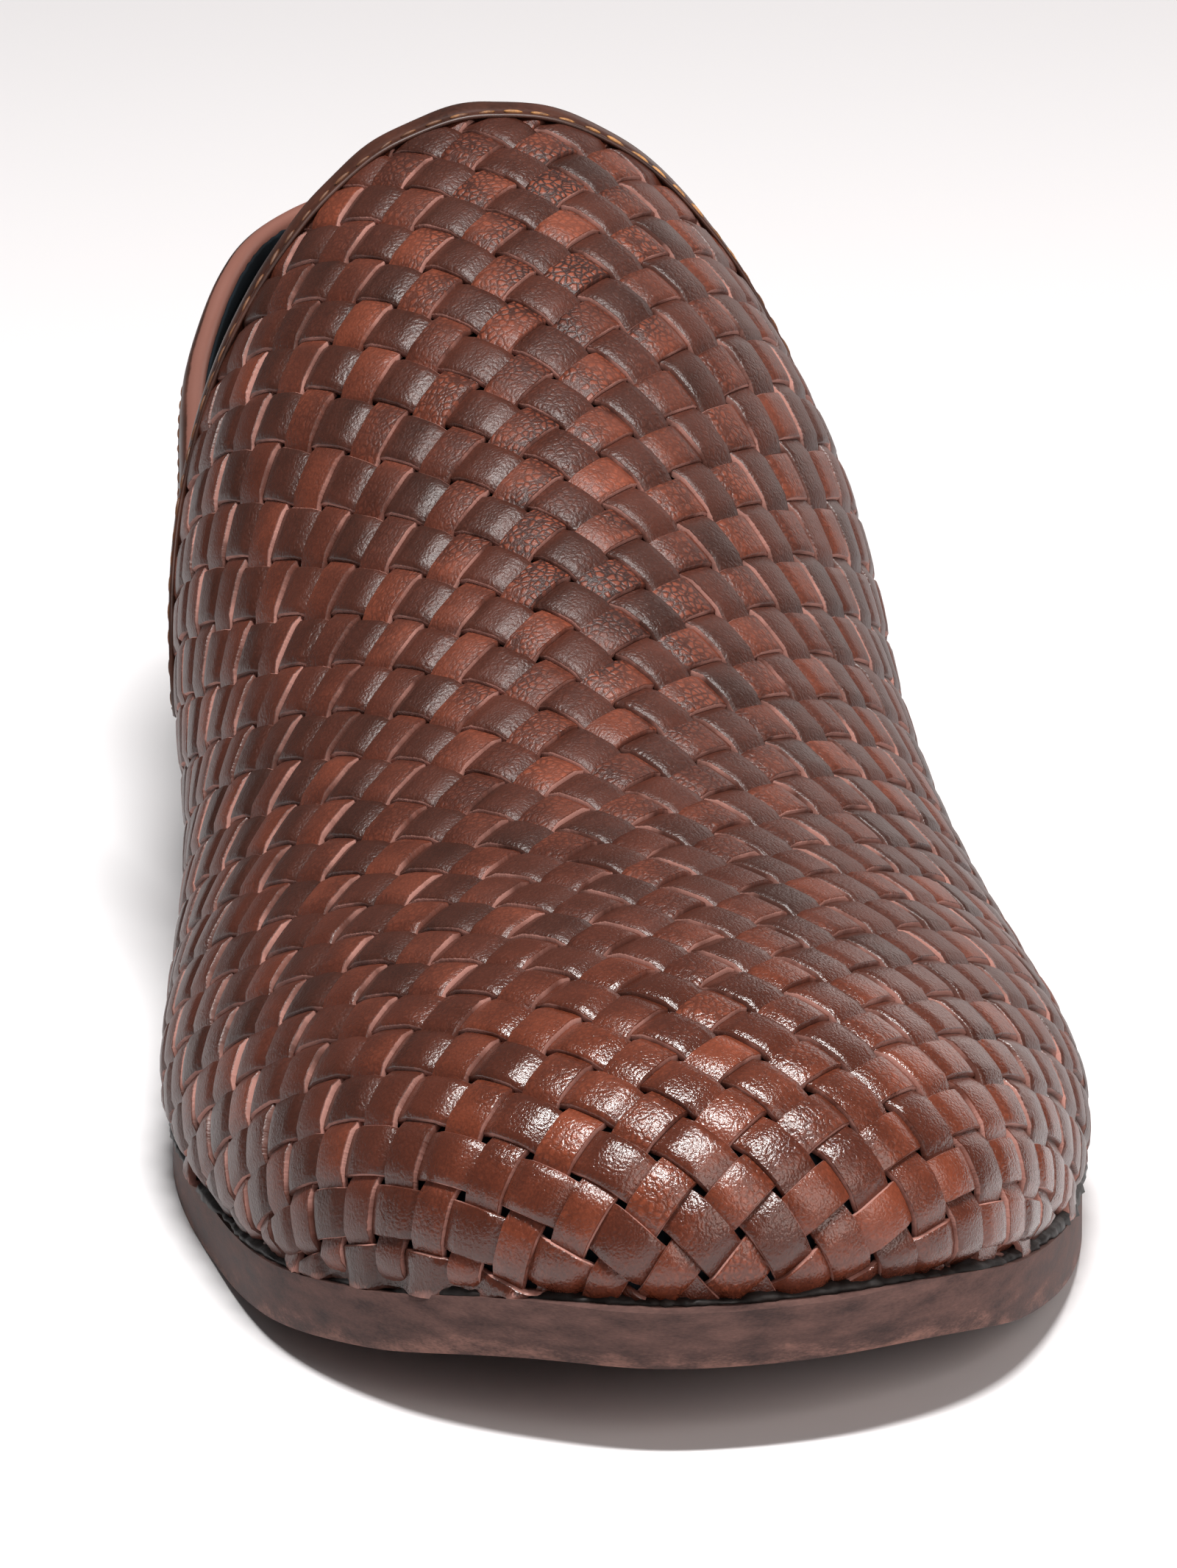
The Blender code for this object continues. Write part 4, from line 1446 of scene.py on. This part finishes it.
@dataclass
class ToplineBinding:
    """Smooth folded leather over the rim of the opening, stitched through the weave."""

    pattern: FlatPattern
    finishes: Finishes
    steps: int = 26
    stitch_pitch: float = 3.1 * MM
    stitch_size: tuple[float, float, float] = (1.10 * MM, 0.23 * MM, 0.24 * MM)
    stitch_drop: float = 1.1 * MM
    stitch_out: float = 1.28 * MM
    sunk: float = 0.35
    unevenness: float = 0.018
    fray: float = 0.10
    throat_heights: tuple[float, float] = (0.040, 0.052)
    throat_ends: tuple[float, float] = (0.068, 0.080)
    stitch_tilt: float = 0.12
    stitch_spread: float = 0.08
    # Strength of the painted highlight on the stitches high on the outer throat.
    painted_thread_highlight: float = 0.6
    section: tuple[tuple[float, float, float], ...] = (
        (1.10, -1.60, 0.0),
        (1.40, -2.05, 0.0),
        (1.72, -1.85, 0.0),
        (1.68, -1.35, 0.0),
        (1.48, -1.05, 0.0),
        (1.68, -0.70, 0.0),
        (1.70, 0.40, 0.0),
        (1.55, 1.60, 0.0),
        (1.20, 2.45, 0.24),
        (0.62, 2.95, 1.08),
        (-0.10, 3.05, 1.2),
        (-0.65, 2.85, 1.2),
        (-1.02, 2.30, 1.2),
        (-1.12, 1.20, 1.2),
        (-1.12, -0.20, 1.2),
        (-0.90, -0.60, 0.6),
        (-0.60, 0.20, 0.0),
    )
    lining_section: tuple[tuple[float, float], ...] = (
        (-0.70, -1.60),
        (-0.95, 0.20),
        (-1.05, 1.95),
        (-1.30, 2.15),
        (-1.46, 1.80),
        (-1.50, -0.60),
        (-1.20, -2.00),
    )

    def build(self) -> None:
        """Builds the folded edge and its stitches."""
        piece = self.folded_edge()
        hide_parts("topline_binding")
        finish_piece(piece, self.finishes.binding)
        finish_piece(self.stitches(), self.finishes.thread)
        finish_piece(self.lining_edge(), self.finishes.lining)

    def rim_frames(self, flat: Array) -> tuple[Array, Array, Array, Array]:
        """Finds the rim with its directions.

        Args:
            flat: Flat points of the closed rim.

        Returns:
            Points, outward normals, directions ahead, and directions up out of the opening.
        """
        place, normal, _ = self.pattern.skin(flat)
        ahead = np.roll(place, -1, axis=0) - np.roll(place, 1, axis=0)
        ahead /= np.linalg.norm(ahead, axis=1)[:, None]
        rise = np.cross(normal, ahead)
        rise /= np.linalg.norm(rise, axis=1)[:, None]
        return place, normal, ahead, rise

    def folded_edge(self) -> bpy.types.Object:
        """Sweeps the folded section round the rim, a little uneven as hand work is."""
        place, normal, _, rise = self.rim_frames(self.pattern.rim(self.steps))
        random = np.random.default_rng(11)
        count = len(place)
        angle = np.arange(count) / count * 2 * np.pi
        waves = sum(
            random.normal(0, 1) * np.sin(k * angle + random.uniform(0, 6)) for k in range(5, 40)
        )
        uneven = self.unevenness * waves
        middle = place - normal * self.sunk * MM
        rings = []
        for out, up, _ in self.section:
            reach = (out * (1 + 0.25 * uneven)) * MM
            height = (up + uneven * (up > 0)) * MM
            rings.append(middle + normal * reach[:, None] + rise * height[:, None])
        verts = np.stack(rings, axis=1).reshape(-1, 3)
        faces = [tuple(reversed(f)) for f in tube_faces(count, len(self.section))]
        piece = mesh_piece("folded_topline", verts, faces)
        pale = np.tile([point[2] for point in self.section], count)
        high = ease(*self.throat_heights, verts[:, 2])
        throat = high * (1 - ease(*self.throat_ends, verts[:, 1]))
        set_attribute(piece, "worn", "FLOAT", pale * (1 - throat))
        return piece

    def lining_edge(self) -> bpy.types.Object:
        """Turns the black lining up against the inside of the binding, with a frayed edge."""
        place, normal, _, rise = self.rim_frames(self.pattern.rim(self.steps))
        random = np.random.default_rng(13)
        count = len(place)
        fray = random.normal(0, self.fray, count)
        rings = []
        for out, up in self.lining_section:
            height = up + fray * (up > 0)
            rings.append(place + normal * (out - self.sunk) * MM + rise * height[:, None] * MM)
        verts = np.stack(rings, axis=1).reshape(-1, 3)
        faces = [tuple(reversed(f)) for f in tube_faces(count, len(self.lining_section))]
        return mesh_piece("lining_edge", verts, faces)

    def stitches(self) -> bpy.types.Object:
        """Copies one waxed stitch along the rim."""
        deselect_all()
        bpy.ops.mesh.primitive_uv_sphere_add(segments=8, ring_count=6, radius=1.0)
        one = bpy.context.object
        shape = points_of(one)
        faces = [tuple(polygon.vertices) for polygon in one.data.polygons]
        bpy.data.objects.remove(one)
        flat = self.pattern.rim(self.steps)
        place, _, _, rise = self.rim_frames(flat)
        loop = np.vstack([place, place[:1]])
        run = lengths_along(loop)
        count = int(run[-1] / self.stitch_pitch)
        wanted = (np.arange(count) + 0.5) * run[-1] / count
        closed = np.vstack([flat, flat[:1]])
        jumps = np.abs(np.diff(closed[:, 0])) > 0.05
        index = np.clip(np.searchsorted(run, wanted) - 1, 0, len(place) - 1)
        part = (wanted - run[index]) / (run[index + 1] - run[index])
        part = np.where(jumps[index], 0.0, part)
        at = closed[index] * (1 - part[:, None]) + closed[index + 1] * part[:, None]
        place, normal, _ = self.pattern.skin(at)
        ahead = loop[index + 1] - loop[index]
        ahead /= np.linalg.norm(ahead, axis=1)[:, None]
        rise = np.cross(normal, ahead)
        random = np.random.default_rng(5)
        tilt = random.normal(0, self.stitch_tilt, count)
        ahead = ahead * np.cos(tilt)[:, None] + rise * np.sin(tilt)[:, None]
        rise = np.cross(normal, ahead)
        rise /= np.linalg.norm(rise, axis=1)[:, None]
        centre = place - rise * self.stitch_drop + normal * self.stitch_out
        long, high, deep = self.stitch_size
        sizes = 1 + random.normal(0, self.stitch_spread, (count, 1, 1))
        body = shape[None] * sizes * (long, high, deep)
        verts = (
            centre[:, None]
            + body[..., :1] * ahead[:, None]
            + body[..., 1:2] * rise[:, None]
            + body[..., 2:] * normal[:, None]
        )
        size = len(shape)
        every = [tuple(i + n * size for i in f) for n in range(count) for f in faces]
        piece = mesh_piece("rim_stitches", verts.reshape(-1, 3), every)
        # Painted highlight: stitches high on the outer side of the throat are made lighter, golden.
        painted_highlight_on_thread = ease(-14 * MM, 2 * MM, place[:, 0]) * ease(0.066, 0.074, place[:, 2])
        set_attribute(piece, "worn", "FLOAT", np.repeat(painted_highlight_on_thread * self.painted_thread_highlight, size))
        return piece


@dataclass
class Bottom:
    """Outsole, heel lift, footbed and the cement line between sole and upper."""

    last: Last
    finishes: Finishes
    clearance: float = 0.3 * MM
    insole_thickness: float = 2.5 * MM
    edge_round: float = 0.8 * MM
    lift_taper: float = 0.8 * MM
    heel_breast_rib: float = 9.75
    first_rib: float = 0.06
    footbed_inset: float = 1.75 * MM
    squares_across: int = 18
    pool_rib: float = 3.1
    pool_ribs: float = 1.2

    def build(self) -> None:
        """Builds the layers from the ground up."""
        last = self.last
        sole = self.layer(
            "outsole_leather", self.first_rib, 0.0, 1.0, last.ground_under, last.sole_thickness
        )
        self.wear_sole(sole)
        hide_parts("outsole")
        finish_piece(sole, self.finishes.sole)
        height = last.heel_height - self.clearance
        lift = self.layer(
            "heel_lift_leather", self.heel_breast_rib, 0.0, 1.0, np.zeros_like, height
        )
        self.taper(lift, height)
        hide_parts("heel_lift")
        finish_piece(lift, self.finishes.lift)
        bed = self.layer(
            "footbed",
            self.first_rib,
            -self.footbed_inset,
            0.0,
            lambda y: last.ground_under(y) + last.sole_thickness + self.clearance,
            self.insole_thickness,
        )
        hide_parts("insole")
        finish_piece(bed, self.finishes.footbed)
        finish_piece(self.cement(), self.finishes.glue)

    def layer(
        self,
        name: str,
        first_rib: float,
        offset: float,
        ledge: float,
        base: Any,
        thickness: float,
    ) -> bpy.types.Object:
        """Shapes a layer from a grid, thickens it and rounds its edges.

        Args:
            name: The piece's name.
            first_rib: The rib where it starts, towards the toe.
            offset: Distance outwards from the feather line.
            ledge: Share of the sole's ledge.
            base: Height of its underside over the ground, by distance from the toe.
            thickness: Its thickness.

        Returns:
            The layer.
        """
        last = self.last
        deselect_all()
        rows = 200 if first_rib < 1 else 90
        bpy.ops.mesh.primitive_grid_add(
            x_subdivisions=self.squares_across, y_subdivisions=rows, size=1.0
        )
        piece = bpy.context.object
        piece.name = name
        points = points_of(piece)
        across, along = points[:, 0] + 0.5, points[:, 1] + 0.5
        places = np.linspace(first_rib, last.heel_rib - self.first_rib, 400)
        run = lengths_along(last.sole_plan(places, offset, ledge))
        place = np.interp(along * run[-1], run, places)
        outer = last.sole_plan(place, offset, ledge)
        inner = last.sole_plan(-place, offset, ledge)
        share = across[:, None]
        plan = inner * (1 - share) + outer * share
        distance = plan[:, 1] - last.shift[1] + last.length / 2
        move_points(piece, np.column_stack([plan, base(distance)]))
        solid = piece.modifiers.new("thickness", "SOLIDIFY")
        solid.thickness = thickness
        solid.offset = 1.0
        round_edge = piece.modifiers.new("round", "BEVEL")
        round_edge.width = self.edge_round
        round_edge.segments = 3
        round_edge.limit_method = "ANGLE"
        round_edge.angle_limit = radians(50)
        apply_modifiers(piece)
        piece.data.shade_smooth()
        piece.data.set_sharp_from_angle(angle=radians(55))
        return piece

    def taper(self, lift: bpy.types.Object, height: float) -> None:
        """Draws the lift in towards the ground.

        Args:
            lift: The heel lift.
            height: Its height.
        """
        points = points_of(lift)
        centre = points.mean(axis=0)
        out = points[:, :2] - centre[:2]
        reach = np.linalg.norm(out, axis=1)[:, None]
        down = (1 - points[:, 2] / height)[:, None]
        points[:, :2] -= out / (reach + 1e-9) * down * self.lift_taper * (reach > 0.02)
        move_points(lift, points)

    def wear_sole(self, sole: bpy.types.Object) -> None:
        """Scuffs the lower edge, the toe and the tread.

        Args:
            sole: The outsole.
        """
        last = self.last
        points = points_of(sole)
        distance = points[:, 1] - last.shift[1] + last.length / 2
        rise = (points[:, 2] - last.ground_under(distance)) / last.sole_thickness
        edge = 1 - ease(0.0, 0.3, rise)
        toe = 1 - ease(0.02, 0.10, distance / last.length)
        tread = (rise < 0.05) * 0.35
        line = 1 - ease(0.0, 0.10, rise)
        set_attribute(sole, "worn", "FLOAT", 0.03 * edge + 0.03 * toe + 0.12 * line + tread)

    def cement(self) -> bpy.types.Object:
        """Runs a thin uneven bead of dried cement along the feather line."""
        last = self.last
        count = 720
        places = np.linspace(0, 2 * last.heel_rib, count, endpoint=False)
        plan = last.sole_plan(places, 0.0, 0.0)
        distance = plan[:, 1] - last.shift[1] + last.length / 2
        base = last.ground_under(distance) + last.sole_thickness
        random = np.random.default_rng(3)
        lumps = np.convolve(random.normal(0, 1, count * 2), np.ones(5) / 2, "same")[:count]
        pooled = np.exp(-(((places - self.pool_rib) / self.pool_ribs) ** 2))
        size = np.clip(0.62 + 0.20 * lumps, 0.25, 1.4) + 0.75 * pooled
        verts = []
        section = ((-1.5, -0.4), (0.2, -0.4), (0.85, 0.0), (0.75, 0.7), (-0.2, 1.15), (-1.5, 1.2))
        for out, up in section:
            grow = np.where(out > 0, size, 1.0) + random.normal(0, 0.10, count)
            ring = last.sole_plan(places, 0.0, 0.0)
            ahead = last.sole_plan(places, 1 * MM, 0.0) - ring
            plan = ring + ahead * (out * grow)[:, None]
            tall = np.where(up > 0, size, 1.0) + random.normal(0, 0.08, count) * (up > 0)
            verts.append(np.column_stack([plan, base + up * MM * tall]))
        points = np.stack(verts, axis=1).reshape(-1, 3)
        faces = [tuple(reversed(f)) for f in tube_faces(count, len(section))]
        return mesh_piece("cement_line", points, faces)


@dataclass
class Studio:
    """Floor, lights and the camera that took the photograph."""

    finishes: Finishes
    last: Last
    raise_angle: float = 18.5
    turn_angle: float = 4.5
    distance: float = 1.027
    side_step: float = 0.0473
    lens_px: float = 12300.0
    frame_px: int = 1600
    aim: tuple[float, float, float] = (0.0006, -0.030, 0.0350)

    def build(self) -> None:
        """Builds the studio."""
        self.floor()
        self.camera()
        over, fill, back = (-0.02, -0.27, 1.30), (0.80, -1.30, 0.95), (0.95, 1.20, 0.45)
        heart = (0.0, -0.03, 0.03)
        self.light("overhead", over, heart, (0.48, 0.12), 24.5, "#FFFCFA")
        self.light("fill", fill, heart, (1.3, 1.0), 13.5, "#FFF2EC")
        self.light("backdrop", back, heart, (1.1, 0.8), 3.6, "#FFF2EE")
        world = bpy.data.worlds.new("studio")
        world.use_nodes = True
        background = world.node_tree.nodes["Background"]
        background.inputs["Color"].default_value = linear("#FFFFFF")
        background.inputs["Strength"].default_value = 0.10
        bpy.context.scene.world = world
        bpy.context.scene.view_settings.view_transform = "Standard"

    def floor(self) -> None:
        """Lays the pale floor."""
        deselect_all()
        bpy.ops.mesh.primitive_plane_add(size=14.0, location=(0.0, 0.0, 0.0))
        floor = bpy.context.object
        floor.name = "studio_floor"
        floor.data.materials.append(self.finishes.paper)

    def light(
        self,
        name: str,
        place: tuple[float, float, float],
        target: tuple[float, float, float],
        size: tuple[float, float],
        power: float,
        colour: str,
    ) -> None:
        """Hangs a soft box.

        Args:
            name: Its name.
            place: Where it hangs.
            target: What it points at.
            size: Its width and depth.
            power: Its power in watts.
            colour: Its colour.
        """
        data = bpy.data.lights.new(name, "AREA")
        data.shape = "RECTANGLE"
        data.size, data.size_y = size
        data.energy = power
        data.color = linear(colour)[:3]
        lamp = bpy.data.objects.new(name, data)
        lamp.location = place
        way = Vector(target) - Vector(place)
        lamp.rotation_euler = way.to_track_quat("-Z", "Y").to_euler()
        bpy.context.collection.objects.link(lamp)

    def camera(self) -> None:
        """Sets the camera where the photograph was taken from, turned to this one shoe."""
        lift, turn = radians(self.raise_angle), radians(self.turn_angle)
        x, y = -self.side_step, -self.distance * cos(lift)
        place = Vector(
            (
                x * cos(turn) + y * sin(turn) + self.last.shift[0],
                -x * sin(turn) + y * cos(turn) + self.last.shift[1],
                self.distance * sin(lift),
            )
        )
        data = bpy.data.cameras.new("camera")
        data.sensor_fit = "HORIZONTAL"
        data.sensor_width = 36.0
        data.lens = self.lens_px / self.frame_px * data.sensor_width
        data.clip_start = 0.01
        camera = bpy.data.objects.new("camera", data)
        camera.location = place
        camera.rotation_euler = (Vector(self.aim) - place).to_track_quat("-Z", "Y").to_euler()
        bpy.context.collection.objects.link(camera)
        bpy.context.scene.camera = camera


def main() -> None:
    """Builds the shoe and the studio, in order."""
    logging.basicConfig(level=logging.INFO, format="%(message)s")
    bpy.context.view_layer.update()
    last = Last()
    last.seat_on(*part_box("outsole"))
    finishes = Finishes()
    pattern = FlatPattern(last, pitch=6.0 * MM)
    Studio(finishes, last).build()
    WovenUpper(pattern, finishes).build()
    ToplineBinding(pattern, finishes).build()
    Bottom(last, finishes).build()


if __name__ == "__main__":
    main()
